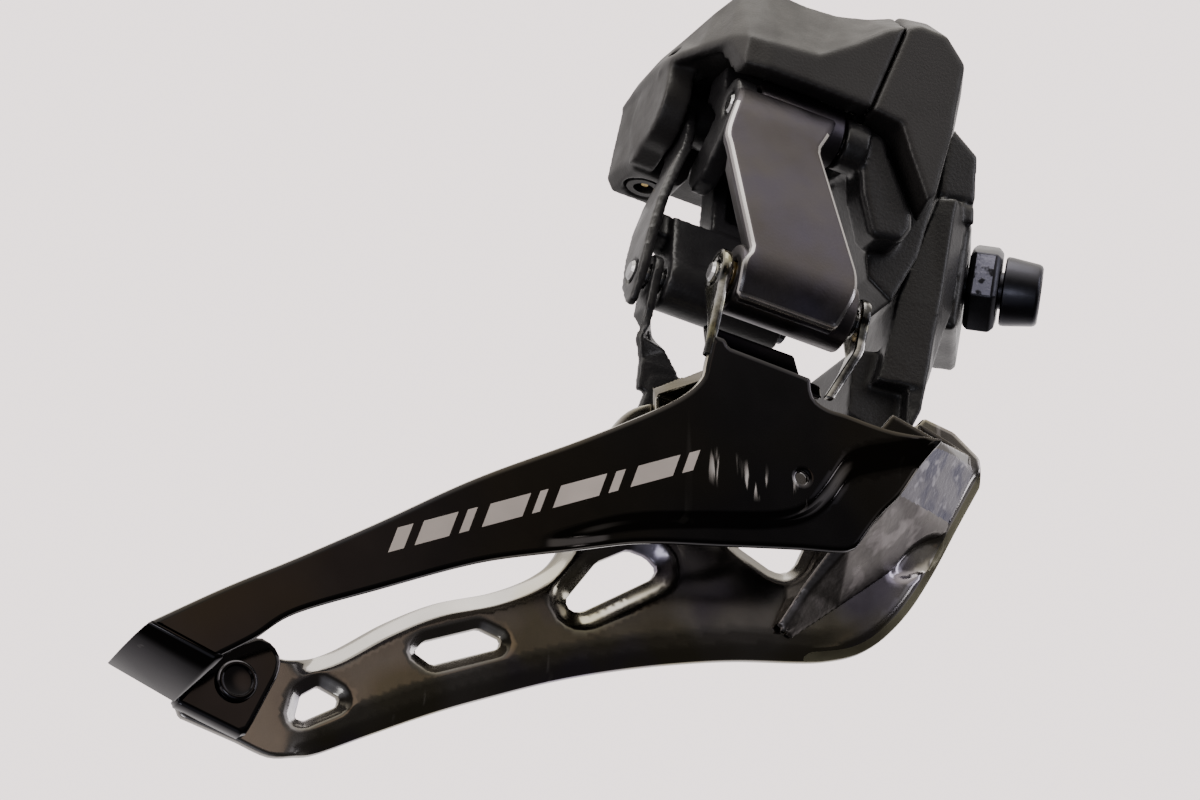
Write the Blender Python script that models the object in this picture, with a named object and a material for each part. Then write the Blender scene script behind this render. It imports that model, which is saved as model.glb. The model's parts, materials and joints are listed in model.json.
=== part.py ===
"""Electronic front derailleur, braze-on.

Origin: where the clamp-bolt axis meets the mounting face. +X forward along the cage, +Y inboard, +Z up.
The clamp bolt points forward, 25 degrees outboard and 9.8 degrees down. Shapes are worked out in millimetres
and scaled to metres once, in solid().
"""
import bpy, bmesh, math
from mathutils import Vector
from mathutils.geometry import delaunay_2d_cdt

# Driving dimensions, in metres
TILT = math.radians(12.7)          # link pivots point forward and down
LINK_LENGTH = 0.0281
LINK_LEAN = math.radians(20.0)     # lean of the links at rest (small ring side)
INNER_DY, INNER_DU = 0.0136, 0.0032  # inner pivots from the outer ones
PLATE_T = 0.0012
OUTER_Y, INNER_Y = -0.0280, -0.0145  # outboard faces of the two cage plates
PIN_R = 0.00125
GAP = 0.0003
EAR_R, EAR_T = 0.00295, 0.00115            # ears that hold the lower pin
UPPER_BARREL_R, LOWER_BARREL_R = 0.0034, 0.0043
BUSH_R, BUSH_SEAT_R = 0.00195, 0.00225
BOLT_R, BOLT_HEAD_R = 0.0023, 0.0043       # clamp bolt
WASHER_R, WASHER_H = 0.00575, 0.0043       # hexagonal washer
CLAMP_OUTBOARD, CLAMP_DOWN = math.radians(25.0), math.radians(9.8)
GEAR_TEETH, WHEEL_TEETH = 30, 12           # output gear, cross shaft wheel
GEAR_TIP_R, WHEEL_TIP_R = 0.00385, 0.0013
MOTOR_R = 0.0044
WALL_T = 0.00115                           # housing
ADJUSTER_S, ADJUSTER_U = 0.016, 0.0024     # stroke adjuster, along and across the pivots
SUPPORT_X, SUPPORT_Z = -0.0154, -0.0164    # support bolt

K = 1000.0
cT, sT = math.cos(TILT), math.sin(TILT)
P = Vector((cT, 0, -sT))
U = Vector((sT, 0, cT))
Y = Vector((0, 1, 0))
BASE = Vector((-30.0, 0, 11.0))
L = LINK_LENGTH * K
P1 = (-15.3, 0.0)
P2 = (P1[0] - L * math.sin(LINK_LEAN), P1[1] - L * math.cos(LINK_LEAN))
Q1 = (P1[0] + INNER_DY * K, P1[1] + INNER_DU * K)
Q2 = (P2[0] + INNER_DY * K, P2[1] + INNER_DU * K)
G = GAP * K
PT = PLATE_T * K
OY, IY = OUTER_Y * K, INNER_Y * K
PR = PIN_R * K
ADJUSTER = (ADJUSTER_S * K, 0, ADJUSTER_U * K)

for o in list(bpy.data.objects):
    bpy.data.objects.remove(o)

MATS = {}


def mat(n, c, r, m):
    k = bpy.data.materials.new(n)
    k.use_nodes = True
    b = k.node_tree.nodes["Principled BSDF"]
    b.inputs["Base Color"].default_value = (*c, 1)
    b.inputs["Roughness"].default_value = r
    b.inputs["Metallic"].default_value = m
    k.diffuse_color = (*c, 1)
    MATS[n] = k


mat("black_chrome", (0.03, 0.03, 0.035), 0.12, 1)
mat("dark_chrome", (0.42, 0.40, 0.38), 0.15, 1)
mat("link_grey", (0.13, 0.12, 0.14), 0.35, 1)
mat("black_cast", (0.03, 0.03, 0.032), 0.4, 0.2)
mat("black_plastic", (0.035, 0.033, 0.033), 0.5, 0)
mat("steel", (0.55, 0.55, 0.56), 0.25, 1)
mat("black_steel", (0.06, 0.06, 0.065), 0.35, 1)
mat("brass", (0.6, 0.42, 0.15), 0.3, 1)
mat("board_green", (0.02, 0.12, 0.05), 0.5, 0)


def V(s, y, t):
    return BASE + P * s + Y * y + U * t


def W(x, z, y):
    return Vector((x, y, z))


def solid(name, vs, fs, m):
    me = bpy.data.meshes.new(name)
    bm = bmesh.new()
    bv = [bm.verts.new(v * 0.001) for v in vs]
    for f in fs:
        if len(set(f)) > 2:
            bm.faces.new([bv[i] for i in f])
    bmesh.ops.remove_doubles(bm, verts=bm.verts, dist=1e-7)
    bmesh.ops.recalc_face_normals(bm, faces=bm.faces)
    if bm.calc_volume(signed=True) < 0:
        bmesh.ops.reverse_faces(bm, faces=bm.faces)
    bm.to_mesh(me)
    bm.free()
    o = bpy.data.objects.new(name, me)
    bpy.context.collection.objects.link(o)
    me.materials.append(MATS[m])
    return o


def loft(name, rings, m):
    n = len(rings[0])
    vs = [v for r in rings for v in r]
    fs = []
    for k in range(len(rings) - 1):
        for i in range(n):
            j = (i + 1) % n
            fs.append((k * n + i, k * n + j, (k + 1) * n + j, (k + 1) * n + i))
    fs.append(tuple(range(n)))
    fs.append(tuple((len(rings) - 1) * n + i for i in range(n)))
    return solid(name, vs, fs, m)


def prism_y(name, pts, y0, y1, m):      # outline in (x, z)
    return loft(name, [[W(x, z, y0) for x, z in pts], [W(x, z, y1) for x, z in pts]], m)


def prism_s(name, pts, s0, s1, m):      # outline in (y, t)
    return loft(name, [[V(s0, y, t) for y, t in pts], [V(s1, y, t) for y, t in pts]], m)


def prism_p(name, pts, y0, y1, m):      # outline in (s, t)
    return loft(name, [[V(s, y0, t) for s, t in pts], [V(s, y1, t) for s, t in pts]], m)


def circle(c, r, n=24, a0=0.0):
    return [(c[0] + r * math.cos(a0 + 2 * math.pi * i / n),
        c[1] + r * math.sin(a0 + 2 * math.pi * i / n)) for i in range(n)]


def lathe(name, prof, o, ax, m, n=24):
    ax = ax.normalized()
    e1 = ax.orthogonal().normalized()
    e2 = ax.cross(e1)
    vs, rows, fs = [], [], []
    for r, h in prof:
        if r < 1e-6:
            rows.append([len(vs)] * n)
            vs.append(o + ax * h)
        else:
            rows.append(list(range(len(vs), len(vs) + n)))
            vs += [o + ax * h + (e1 * math.cos(2 * math.pi * i / n) + e2 * math.sin(2 * math.pi * i / n)) * r
                   for i in range(n)]
    closed = prof[0] == prof[-1]
    if closed:
        rows[-1] = rows[0]
    for a, b in zip(rows, rows[1:]):
        for i in range(n):
            j = (i + 1) % n
            f = []
            for q in (a[i], a[j], b[j], b[i]):
                if q not in f:
                    f.append(q)
            if len(f) > 2:
                fs.append(tuple(f))
    if not closed:
        if prof[0][0] > 1e-6:
            fs.append(tuple(rows[0]))
        if prof[-1][0] > 1e-6:
            fs.append(tuple(rows[-1]))
    used = sorted({i for f in fs for i in f})
    mp = {q: k for k, q in enumerate(used)}
    return solid(name, [vs[q] for q in used], [tuple(mp[q] for q in f) for f in fs], m)


def rod(name, c, s0, s1, r, m, n=20):    # along the pivots, centre (y, t)
    return lathe(name, [(0, s0), (r, s0), (r, s1), (0, s1)], V(0, c[0], c[1]), P, m, n)


def fin(o):
    dg = bpy.context.evaluated_depsgraph_get()
    dg.update()
    me = bpy.data.meshes.new_from_object(o.evaluated_get(dg))
    o.modifiers.clear()
    old = o.data
    nm = old.name
    o.data = me
    bpy.data.meshes.remove(old)
    me.name = nm
    bm = bmesh.new()
    bm.from_mesh(me)
    bmesh.ops.remove_doubles(bm, verts=bm.verts, dist=2e-7)
    bmesh.ops.dissolve_degenerate(bm, edges=bm.edges, dist=1e-7)
    bm.to_mesh(me)
    bm.free()
    return o


def boole(a, b, op):
    q = a.modifiers.new("b", 'BOOLEAN')
    q.operation = op
    q.solver = 'EXACT'
    q.object = b
    fin(a)
    me = b.data
    bpy.data.objects.remove(b)
    bpy.data.meshes.remove(me)
    return a


def add(a, *bs):
    for b in bs:
        boole(a, b, 'UNION')
    return a


def cut(a, *bs):
    for b in bs:
        boole(a, b, 'DIFFERENCE')
    return a


def bevel(o, w, ang=35, seg=1):
    q = o.modifiers.new("v", 'BEVEL')
    q.width = w * 0.001
    q.segments = seg
    q.limit_method = 'ANGLE'
    q.angle_limit = math.radians(ang)
    q.use_clamp_overlap = True
    return fin(o)


def inside(p, loop):
    c = False
    x, y = p
    for i in range(len(loop)):
        (x0, y0), (x1, y1) = loop[i], loop[i - 1]
        if (y0 > y) != (y1 > y) and x < (x1 - x0) * (y - y0) / (y1 - y0) + x0:
            c = not c
    return c


def sheet(name, outer, holes, lines, y0, th, m):
    """A pressed plate: outline, holes and crease lines as (x, z, depth); depth moves the metal inboard."""
    vs, es, dep = [], [], []
    def put(pts, closed):
        b = len(vs)
        for q in pts:
            vs.append(Vector((q[0], q[1])))
            dep.append(q[2] if len(q) > 2 else 0.0)
        es.extend((b + i, b + i + 1) for i in range(len(pts) - 1))
        if closed:
            es.append((b + len(pts) - 1, b))
    put(outer, True)
    for h in holes:
        put(h, True)
    for l in lines:
        put(l, False)
    co, _, tri, ov, _, _ = delaunay_2d_cdt(vs, es, [], 0, 1e-5)
    d = [dep[o[0]] if o else 0.0 for o in ov]
    o2 = [(q[0], q[1]) for q in outer]
    h2 = [[(q[0], q[1]) for q in h] for h in holes]
    keep = []
    for t in tri:
        c = sum((co[i] for i in t), Vector((0, 0))) / len(t)
        if inside((c.x, c.y), o2) and not any(inside((c.x, c.y), h) for h in h2):
            keep.append(tuple(t))
    n = len(co)
    pts = [W(c.x, c.y, y0 + d[i]) for i, c in enumerate(co)] + [W(c.x, c.y, y0 + d[i] + th) for i,
        c in enumerate(co)]
    fs = [t for t in keep] + [tuple(n + i for i in reversed(t)) for t in keep]
    cnt = {}
    for t in keep:
        for i in range(len(t)):
            a, b = t[i], t[(i + 1) % len(t)]
            cnt[(a, b)] = 1
    for (a, b) in cnt:
        if (b, a) not in cnt:
            fs.append((b, a, n + a, n + b))
    used = sorted({i for f in fs for i in f})
    mp = {q: k for k, q in enumerate(used)}
    return solid(name, [pts[q] for q in used], [tuple(mp[q] for q in f) for f in fs], m)


# ---------------------------------------------------------------- chain guide
D0 = 1.5
op_top = [(-109.9, -62.1), (-101.9, -57.5), (-93.5, -53.1), (-84.6, -48.2), (-73.5, -41.9), (-60.6, -35.7),
    (-50.7, -30.4), (-47.1, -27.4), (-44.6, -22.8),
          (-33.4, -25.6), (-33.1, -27.6), (-31.5, -28.7), (-29.0, -29.2), (-23.5, -30.4), (-16.9, -30.7)]
op_bot = [(-19.2, -33.8, 0), (-21.8, -37.6, D0), (-24.4, -40.3, D0), (-26.9, -43.7, D0), (-28.6, -45.0, D0),
    (-34.6, -45.3, D0), (-43.4, -45.9, D0), (-54.4, -46.8, D0), (-63.8, -49.2, 0.6),
          (-73.1, -51.5, 0), (-84.4, -55.7, 0), (-93.7, -59.4, 0), (-98.1, -62.6, 0), (-102.5, -65.3, 0)]
up_line = [(-26.3, -32.4, 0), (-29.2, -33.9, 0), (-32.1, -38.0, 0), (-34.4, -40.6, 0), (-38.4, -42.0, 0),
    (-47.3, -43.0, 0), (-56.0, -44.3, 0), (-63.0, -46.9, 0)]
lo_line = [(-25.4, -35.0, D0), (-28.4, -36.6, D0), (-30.6, -39.6, D0), (-33.8, -42.0, D0),
    (-38.6, -43.3, D0), (-47.3, -44.2, D0), (-55.6, -45.5, D0)]
outer_plate = sheet("outer_plate", op_top + op_bot, [circle((-34.7, -37.4), 1.45, 16)], [up_line, lo_line],
    OY, PT, "black_chrome")
# folded tail: a bridge running inboard and back, then a tab beside the inner plate
tb = [((-109.9, -62.1), (-102.5, -65.3), OY), ((-110.9, -63.0), (-103.4, -66.5), OY + 2.2),
    ((-111.5, -63.9), (-103.9, -67.5), -17.0)]
rings = []
for (a, b, y) in tb:
    rings.append([W(a[0], a[1], y), W(b[0], b[1], y), W(b[0] + 1.2, b[1] + 0.45,
        y + (PT if y == OY else 0)), W(a[0] + 1.2, a[1] + 0.45, y + (PT if y == OY else 0))])
tail = loft("t", rings, "black_chrome")
bot = loft("t2", [[W(-105.2, -65.0, -17.4), W(-103.9, -67.5, -17.4), W(-96.0, -70.6, -17.4),
    W(-97.0, -68.2, -17.4)],
                  [W(-105.2, -65.0, -16.0), W(-103.9, -67.5, -16.0), W(-96.0, -70.6, -16.0),
                  W(-97.0, -68.2, -16.0)]], "black_chrome")
tab = prism_y("t3", [(-103.9, -67.5), (-102.4, -63.8), (-98.9, -61.2), (-94.6, -59.2), (-92.9, -60.0),
    (-92.0, -61.6), (-92.3, -63.3), (-95.2, -69.3), (-96.0, -70.6)], -17.4, IY - G - 0.15, "black_chrome")
add(outer_plate, tail, tab, bot)
cut(outer_plate, prism_y("c", circle((-97.1, -64.6), 1.55, 16), -20, -13, "steel"))
# ears for the lower pin


def ear(sc, shear, m="dark_chrome"):
    R = round(EAR_R * K, 6)
    y2, t2 = P2
    pts = [(y2 + R * math.cos(a), t2 + R * math.sin(a)) for a in [math.radians(q) for q in range(-20, 201,
        20)]]
    pts += [(OY, t2 - 5.0), (OY, t2 - 7.4), (OY + PT + 0.6, t2 - 7.4), (OY + PT + 1.0, t2 - 6.0)]
    o = prism_s("ear", pts, sc, sc + EAR_T * K, m)
    q = lambda s, t, w: [V(s, OY + 0.03, t), V(s + 1.1, OY + 0.03, t), V(s + 1.1, OY + w, t),
        V(s, OY + w, t)]
    return add(o, loft("stem", [q(sc + 0.02, t2 - 6.6, PT + 0.4),
        q(sc + 0.02 - 0.1 * shear, t2 - 7.6, PT + 0.3), q(sc + 0.02 - shear, t2 - 11.6, PT - 0.1)], m))


e1 = ear(-8.4, 0.0)
e2 = ear(9.25, 2.3)
foot1 = prism_y("f1", [(-46.4, -26.0), (-45.3, -21.9), (-43.4, -22.4), (-43.4, -26.0)], OY, OY + PT,
    "black_chrome")
foot2 = prism_y("f2", [(-33.4, -24.6), (-31.6, -24.2), (-31.0, -29.6), (-33.6, -29.4)], OY, OY + PT,
    "black_chrome")
add(outer_plate, foot1, foot2, e1, e2)
cut(outer_plate, rod("c", P2, -12, 13, PR + G, "steel", 16))

ip_top = [(-103.3, -66.0), (-101.5, -62.8), (-97.5, -60.6), (-94.2, -59.3), (-91.5, -60.6), (-88.7, -60.4),
    (-85.1, -58.9), (-79.3, -55.2), (-73.4, -52.3), (-66.7, -50.3), (-61.8, -47.9), (-58.9, -45.0),
          (-57.0, -40.0), (-54.6, -33.5), (-51.0, -27.6), (-46.0, -25.4), (-40.0, -24.6), (-30.0, -26.6),
          (-20.0, -26.4), (-13.8, -24.4), (-12.9, -23.4), (-9.1, -24.7)]
ip_bot = [(-5.8, -27.6), (-5.4, -30.8), (-8.6, -36.4), (-11.7, -42.0), (-14.8, -46.8), (-17.8, -50.2),
    (-20.6, -52.4), (-23.6, -53.7), (-28.0, -54.5), (-36.9, -55.2), (-44.3, -56.3), (-51.6, -57.8),
    (-58.8, -59.7),
          (-65.9, -62.1), (-73.2, -64.8), (-80.6, -68.0), (-86.4, -70.6), (-89.2, -71.4), (-92.3, -71.7),
          (-95.9, -70.4), (-102.4, -68.2)]
h1 = [(-89.4, -67.1), (-88.8, -64.5), (-86.8, -63.2), (-84.4, -64.3), (-84.6, -65.3), (-88.4, -67.3)]
h2 = [(-75.9, -58.3), (-74.8, -57.0), (-68.3, -54.8), (-65.6, -55.8), (-65.9, -56.9), (-73.8, -59.6)]
h3 = [(-57.8, -50.3), (-57.1, -51.5), (-55.7, -51.4), (-47.2, -46.6), (-46.5, -45.3), (-47.8, -44.0),
    (-50.1, -43.4), (-54.0, -45.4)]
h4 = [(-41.2, -37.5), (-36.8, -41.8), (-32.5, -44.3), (-31.0, -44.4), (-29.6, -43.4), (-28.2, -40.5),
    (-28.6, -36.5), (-33.5, -34.2)]
# pressed bead: the middle of the plate stands outboard of its two long edges
bead_top = [(-84.6, -60.3), (-78.8, -56.7), (-73.0, -53.8), (-66.2, -51.9), (-61.0, -49.4)]
bead_bot = [(-88.6, -69.4), (-80.2, -65.9), (-72.8, -62.8), (-65.5, -60.1), (-58.5, -57.7), (-51.3, -55.8),
    (-44.0, -54.2), (-36.8, -53.1), (-28.3, -52.4)]
D1 = 1.1
itop = [(x, z, D1 if -90 < x < -60 else 0) for x, z in ip_top]
ibot = [(x, z, D1 if -89 < x < -27 else 0) for x, z in ip_bot]
sheet("inner_plate", itop + ibot, [h1, h2, h3, h4, circle((-97.1, -64.6), 1.55, 16),
    circle((-11.6, -28.6), 1.2, 12), circle((-19.4, -38.4), 1.2, 12), circle((-47.4, -29.2), 1.2, 12),
    circle((-39.5, -29.9), 1.2, 12)],
                    [bead_top, bead_bot], IY, PT, "dark_chrome")


def rivet(name, x, z, ya, yb, r, head, m="steel", h0=0.6, h1=0.6):
    # shank between ya and yb, a head outboard and inboard, each clear of its plate by the gap
    return lathe(name, [(0, ya - G - h0), (head * 0.8, ya - G - h0), (head, ya - G - h0 * 0.45),
        (head, ya - G), (r, ya - G), (r, yb + G), (head, yb + G), (head, yb + G + h1 * 0.55),
        (head * 0.8, yb + G + h1), (0, yb + G + h1)],
                 Vector((x, 0, z)), Y, m, 16)


rivet("tail_rivet", -97.1, -64.6, -17.4, IY + PT, 1.2, 2.3, "black_chrome")

# nose bridge: a folded sheet that joins the front of the outer plate with the front of the inner plate
# stations down the nose: outboard edge (x, y, z), inboard edge (x, z), widths of the two flanges
yo, yi = OY + D0 + PT + G + 0.1, IY - G
NOSE_T = 0.85
NOSE = [((-16.0, yo, -29.9), (-7.2, -27.6), 6.4, 7.6), ((-18.2, yo, -32.6), (-6.9, -29.8), 6.4, 7.6),
        ((-21.0, yo, -36.6), (-9.6, -35.2), 6.4, 7.6), ((-21.5, yo, -37.2), (-10.6, -37.4), 6.4, 7.6),
        ((-23.6, yo, -39.7), (-14.6, -40.4), 5.0, 6.2), ((-26.4, -22.2, -43.0), (-19.0, -43.9), 1.6, 4.0),
        ((-29.4, -17.3, -47.4), (-24.6, -48.0), 1.0, 2.6), ((-31.8, -15.8, -51.4), (-30.6, -52.4), 0.9,
        1.0)]
rg = []
for (ax_, ay, az), (bx, bz), fo, fi in NOSE:
    back = (-0.917, 0.4)
    rg.append([W(ax_ + back[0] * fo, az + back[1] * fo, ay), W(ax_, az, ay), W(bx, bz, yi),
        W(bx + back[0] * fi, bz + back[1] * fi, yi),
               W(bx + back[0] * fi, bz + back[1] * fi, yi - NOSE_T), W(bx - 1.9, bz + 0.5, yi - NOSE_T),
               W(ax_ - 0.7, az + 0.5, ay + NOSE_T), W(ax_ + back[0] * fo, az + back[1] * fo, ay + NOSE_T)])
nose = loft("nose_bridge", rg, "dark_chrome")
NOSE_RIVETS = ((-11.6, -28.6), (-19.4, -38.4))
for cx, cz in NOSE_RIVETS:
    cut(nose, lathe("c", [(0, -17), (1.2, -17), (1.2, -12), (0, -12)], Vector((cx, 0, cz)), Y, "steel", 12))
rivet("nose_rivet_upper", *NOSE_RIVETS[0], yi - NOSE_T, IY + PT, 0.85, 1.6, "steel", 0.5, 0.5)
rivet("nose_rivet_lower", *NOSE_RIVETS[1], yi - NOSE_T, IY + PT, 0.85, 1.6, "steel", 0.5, 0.5)
# roof bridge under the links
ya, yb = OY + PT + G, IY - G
rp = [(-44.0, -24.4), (-40.0, -25.4), (-36.2, -26.4)]
rings = []
for x, z in rp:
    x2, z2 = x - 3.6, z + 0.4
    rings.append([W(x, z - 3.6, ya), W(x, z, ya), W(x2, z2, yb), W(x2, z2 - 6.4, yb),
        W(x2, z2 - 6.4, yb - 0.9), W(x2, z2 - 1.2, yb - 0.9), W(x, z - 1.2, ya + 0.9),
        W(x, z - 3.6, ya + 0.9)])
roof = loft("roof_bridge", rings, "dark_chrome")
for cx, cz in ((-47.4, -29.2), (-39.5, -29.9)):
    cut(roof, lathe("c", [(0, -17), (1.2, -17), (1.2, -13), (0, -13)], Vector((cx, 0, cz)), Y, "steel", 12))
FOOT = (-12.9, -11.7)
rivet("roof_rivet_rear", -47.4, -29.2, yb - 0.9, FOOT[1], 0.85, 1.6, "steel", 0.5, 0.5)
rivet("roof_rivet_front", -39.5, -29.9, yb - 0.9, FOOT[1], 0.85, 1.6, "steel", 0.5, 0.5)

# guide arm: eye on the inner link's lower pin, twisted strip, foot inside the inner plate
y2, t2 = Q2


def strip(c, a, b, wa, tb_):
    return [c - a * wa - b * tb_, c + a * wa - b * tb_, c + a * wa + b * tb_, c - a * wa + b * tb_]


sa = -11.55
st = [(V(sa, y2, t2 - 0.5), Y, P, 2.5, 0.58), (V(sa + 0.1, y2 - 0.1, t2 - 4.6), Y, P, 2.2, 0.58),
    (V(sa + 0.9, y2 - 0.0, t2 - 6.4), (Y * 0.9 + P * 0.4).normalized(), (P * 0.9 - Y * 0.4).normalized(),
    2.1, 0.6),
      (V(sa + 1.6, y2 - 0.4, t2 - 8.4), (Y * 0.35 + P * 0.94).normalized(),
      (P * 0.35 - Y * 0.94).normalized(), 2.1, 0.6),
      (V(sa + 2.9, y2 - 0.9, t2 - 11.0), P, -Y, 2.3, 0.6), (V(sa + 3.6, y2 - 1.0, t2 - 14.6), P, -Y, 2.7,
      0.5)]
armz = loft("guide_arm", [strip(c, a.normalized(), b.normalized(), wa, tb_) for c, a, b, wa, tb_ in st],
    "black_cast")
armz.data.name = "guide_arm"
eye = prism_s("e", circle(Q2, 2.7, 20), sa - 0.6, sa + 0.6, "black_cast")
foot = prism_y("ft", [(-49.6, -28.4), (-48.6, -26.2), (-46.9, -22.0), (-42.4, -21.6), (-40.8, -25.4),
    (-37.4, -27.4), (-37.2, -31.6), (-41.4, -32.0), (-46.2, -31.4), (-49.2, -30.6)], FOOT[0], FOOT[1],
    "black_cast")
cut(foot, lathe("c", [(0, -15), (1.2, -15), (1.2, -10), (0, -10)], Vector((-47.4, 0, -29.2)), Y, "steel",
    12),
    lathe("c", [(0, -15), (1.2, -15), (1.2, -10), (0, -10)], Vector((-39.5, 0, -29.9)), Y, "steel", 12))
add(armz, eye, foot)
cut(armz, rod("c", Q2, -14, -9, PR + G + 0.05, "steel", 16))

# ---------------------------------------------------------------- links
fl, fn = (-math.sin(LINK_LEAN), -math.cos(LINK_LEAN)), (-math.cos(LINK_LEAN), math.sin(LINK_LEAN))


def LV(c, s, a, n):
    return V(s, c[0] + a * fl[0] + n * fn[0], c[1] + a * fl[1] + n * fn[1])


def prism_n(name, c, pts, n0, n1, m):    # outline in (s, along the link)
    return loft(name, [[LV(c, s, a, n0) for s, a in pts], [LV(c, s, a, n1) for s, a in pts]], m)


def offs(pts, d):
    """Outline moved inwards by d, corner by corner."""
    n = len(pts)
    area = sum(pts[i - 1][0] * pts[i][1] - pts[i][0] * pts[i - 1][1] for i in range(n))
    sg = 1 if area > 0 else -1
    out = []
    for i in range(n):
        a, b, c = Vector(pts[i - 1]), Vector(pts[i]), Vector(pts[(i + 1) % n])
        e, f = (b - a).normalized(), (c - b).normalized()
        n1, n2 = Vector((-e.y, e.x)) * sg, Vector((-f.y, f.x)) * sg
        m = (n1 + n2).normalized()
        out.append(tuple(b + m * (d / max(0.35, m.dot(n1)))))
    return out


def prism_l(name, c, pts, s0, s1, m):    # outline in (along the link, n)
    return loft(name, [[LV(c, s0, a, n) for a, n in pts], [LV(c, s1, a, n) for a, n in pts]], m)


face = [(-8.3, 0.4), (4.5, 0.4), (3.5, 3.4), (1.9, 7.6), (7.5, 25.2), (7.4, 28.4), (6.4, 31.2),
    (-6.3, 31.2), (-6.7, 29.2), (-5.9, 27.2), (-9.6, 12.0), (-10.0, 9.2)]
outer_link = loft("outer_link", [[LV(P1, s, a, n) for s, a in q] for q,
    n in ((face, 3.6), (face, 4.35), (offs(face, 0.45), 4.8))], "link_grey")
body = prism_n("b", P1, [(-5.1, 0.25), (3.0, 0.25), (2.2, 4.0), (0.8, 8.0), (6.0, 25.0), (6.05, 28.6),
    (-5.3, 28.6), (-5.0, 26.0), (-8.4, 12.4), (-8.2, 8.4), (-5.1, 5.6)], 0.37, 3.83, "link_grey")
add(outer_link, body, rod("b1", P1, -5.27, 5.8, UPPER_BARREL_R * K, "link_grey", 24),
    rod("b2", P2, -6.9, 8.5, LOWER_BARREL_R * K, "link_grey", 28))
cut(outer_link, rod("c", P1, -9, 9, BUSH_SEAT_R * K, "steel", 22),
    rod("c", P2, -9, 12, BUSH_SEAT_R * K, "steel", 22),
    prism_n("w", P1, [(-3.2, 6.4), (-0.8, 6.4), (3.6, 22.0), (-3.6, 22.0), (-5.8, 12.0)], -1.0, 3.4,
    "steel"))


def tube(name, c, s0, s1, r0, r1, m, n=20):
    return lathe(name, [(r0, s0), (r1, s0), (r1, s1), (r0, s1), (r0, s0)], V(0, c[0], c[1]), P, m, n)


tube("outer_link_upper_bush", P1, -5.0, 5.6, PR + G, BUSH_R * K, "brass")
tube("outer_link_lower_bush", P2, -6.7, 8.3, PR + G, BUSH_R * K, "brass")


def pin(name, c, s0, s1, m, r=PR, ch=0.3):
    return lathe(name, [(0, s0), (r - ch, s0), (r, s0 + ch), (r, s1 - ch), (r - ch, s1), (0, s1)],
        V(0, c[0], c[1]), P, m, 20)


pin("outer_link_lower_pin", P2, -9.0, 10.9, "steel")

CL = "black_cast"
inner_link = rod("inner_link", Q1, -9.95, 5.2, 3.2, CL, 24)
claw = []
for d, s, n0, n1 in ((0, -9.28, -2.9, 2.9), (6, -9.4, -3.1, 3.8), (9.6, -10.1, -3.3, 4.5),
    (14, -11.4, -3.4, 4.9), (19, -12.5, -3.5, 4.6), (24, -13.1, -3.5, 3.8), (28.5, -13.35, -3.1, 2.8),
    (31.4, -13.45, -1.9, 1.3), (32.8, -13.5, -0.8, 0.3)):
    h = 0.66 if d < 30 else 0.5
    claw.append([LV(Q1, s - h, d, n0), LV(Q1, s + h, d, n0), LV(Q1, s + h, d, n1), LV(Q1, s - h, d, n1)])
add(inner_link, loft("cl", claw, CL), rod("f", Q1, 5.0, 8.2, 2.35, CL, 24),
    prism_l("w", Q1, [(0, -2.2), (24, -2.2), (24, 2.2), (0, 2.2)], -5.2, 4.8, CL),
    prism_l("w", Q1, [(19.6, -3.0), (28, -3.2), (28, 3.2), (19.6, 2.6)], -10.35, 4.8, CL),
    rod("q", Q2, -10.35, 5.0, 3.5, CL, 24),
    prism_l("w", Q1, [(18.8, -1.8), (22.4, -1.8), (22.4, 1.8), (18.8, 1.8)], -12.4, -10.0, CL))
cut(inner_link, rod("c", Q1, -11, 10, 1.9, "steel", 20), rod("c", Q2, -15, 6, PR + G, "steel", 16),
    prism_l("w", Q1, [(6, 0.4), (17, 0.4), (17, 3), (6, 3)], -3.4, 3.2, "steel"))
pin("inner_link_lower_pin", Q2, -14.4, 5.6, "steel")
tube("lower_pin_clip", Q2, 5.3, 5.9, PR + 0.28, 2.3, "black_steel", 16)
# saver spring round the front end of the inner link


def coil(name, c, s0, s1, R, r, turns, m, seg=14, k=6):
    rings = []
    N = int(turns * seg)
    for i in range(N + 1):
        f = i / N
        a = 2 * math.pi * turns * f
        s = s0 + (s1 - s0) * f
        rings.append([V(s + r * math.sin(b), c[0] + (R + r * math.cos(b)) * math.cos(a),
            c[1] + (R + r * math.cos(b)) * math.sin(a)) for b in [2 * math.pi * q / k for q in range(k)]])
    return loft(name, rings, m)


coil("saver_spring", Q1, 5.9, 7.7, 3.05, 0.36, 2.2, "steel")
pin("drive_shaft", Q1, -13.0, 11.2, "steel", 1.6, 0.3)

# ---------------------------------------------------------------- gearing


def gear(name, o, ax, e1, R, n, h0, h1, depth, m):
    e2 = ax.cross(e1)
    pts = []
    for i in range(n):
        for q, rr in ((-0.30, R - depth), (-0.14, R), (0.14, R), (0.30, R - depth)):
            a = 2 * math.pi * (i + q) / n
            pts.append((rr * math.cos(a), rr * math.sin(a)))
    return loft(name, [[o + ax * h + e1 * x + e2 * y for x, y in pts] for h in (h0, h1)], m)


def worm(name, o, ax, e1, r, ecc, h0, h1, turns, m, n=10, k=20):
    e2 = ax.cross(e1)
    rings = []
    for i in range(k + 1):
        f = i / k
        a = 2 * math.pi * turns * f
        c = o + ax * (h0 + (h1 - h0) * f) + (e1 * math.cos(a) + e2 * math.sin(a)) * ecc
        rings.append([c + (e1 * math.cos(b) + e2 * math.sin(b)) * r
                      for b in [2 * math.pi * q / n for q in range(n)]])
    return loft(name, rings, m)


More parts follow.
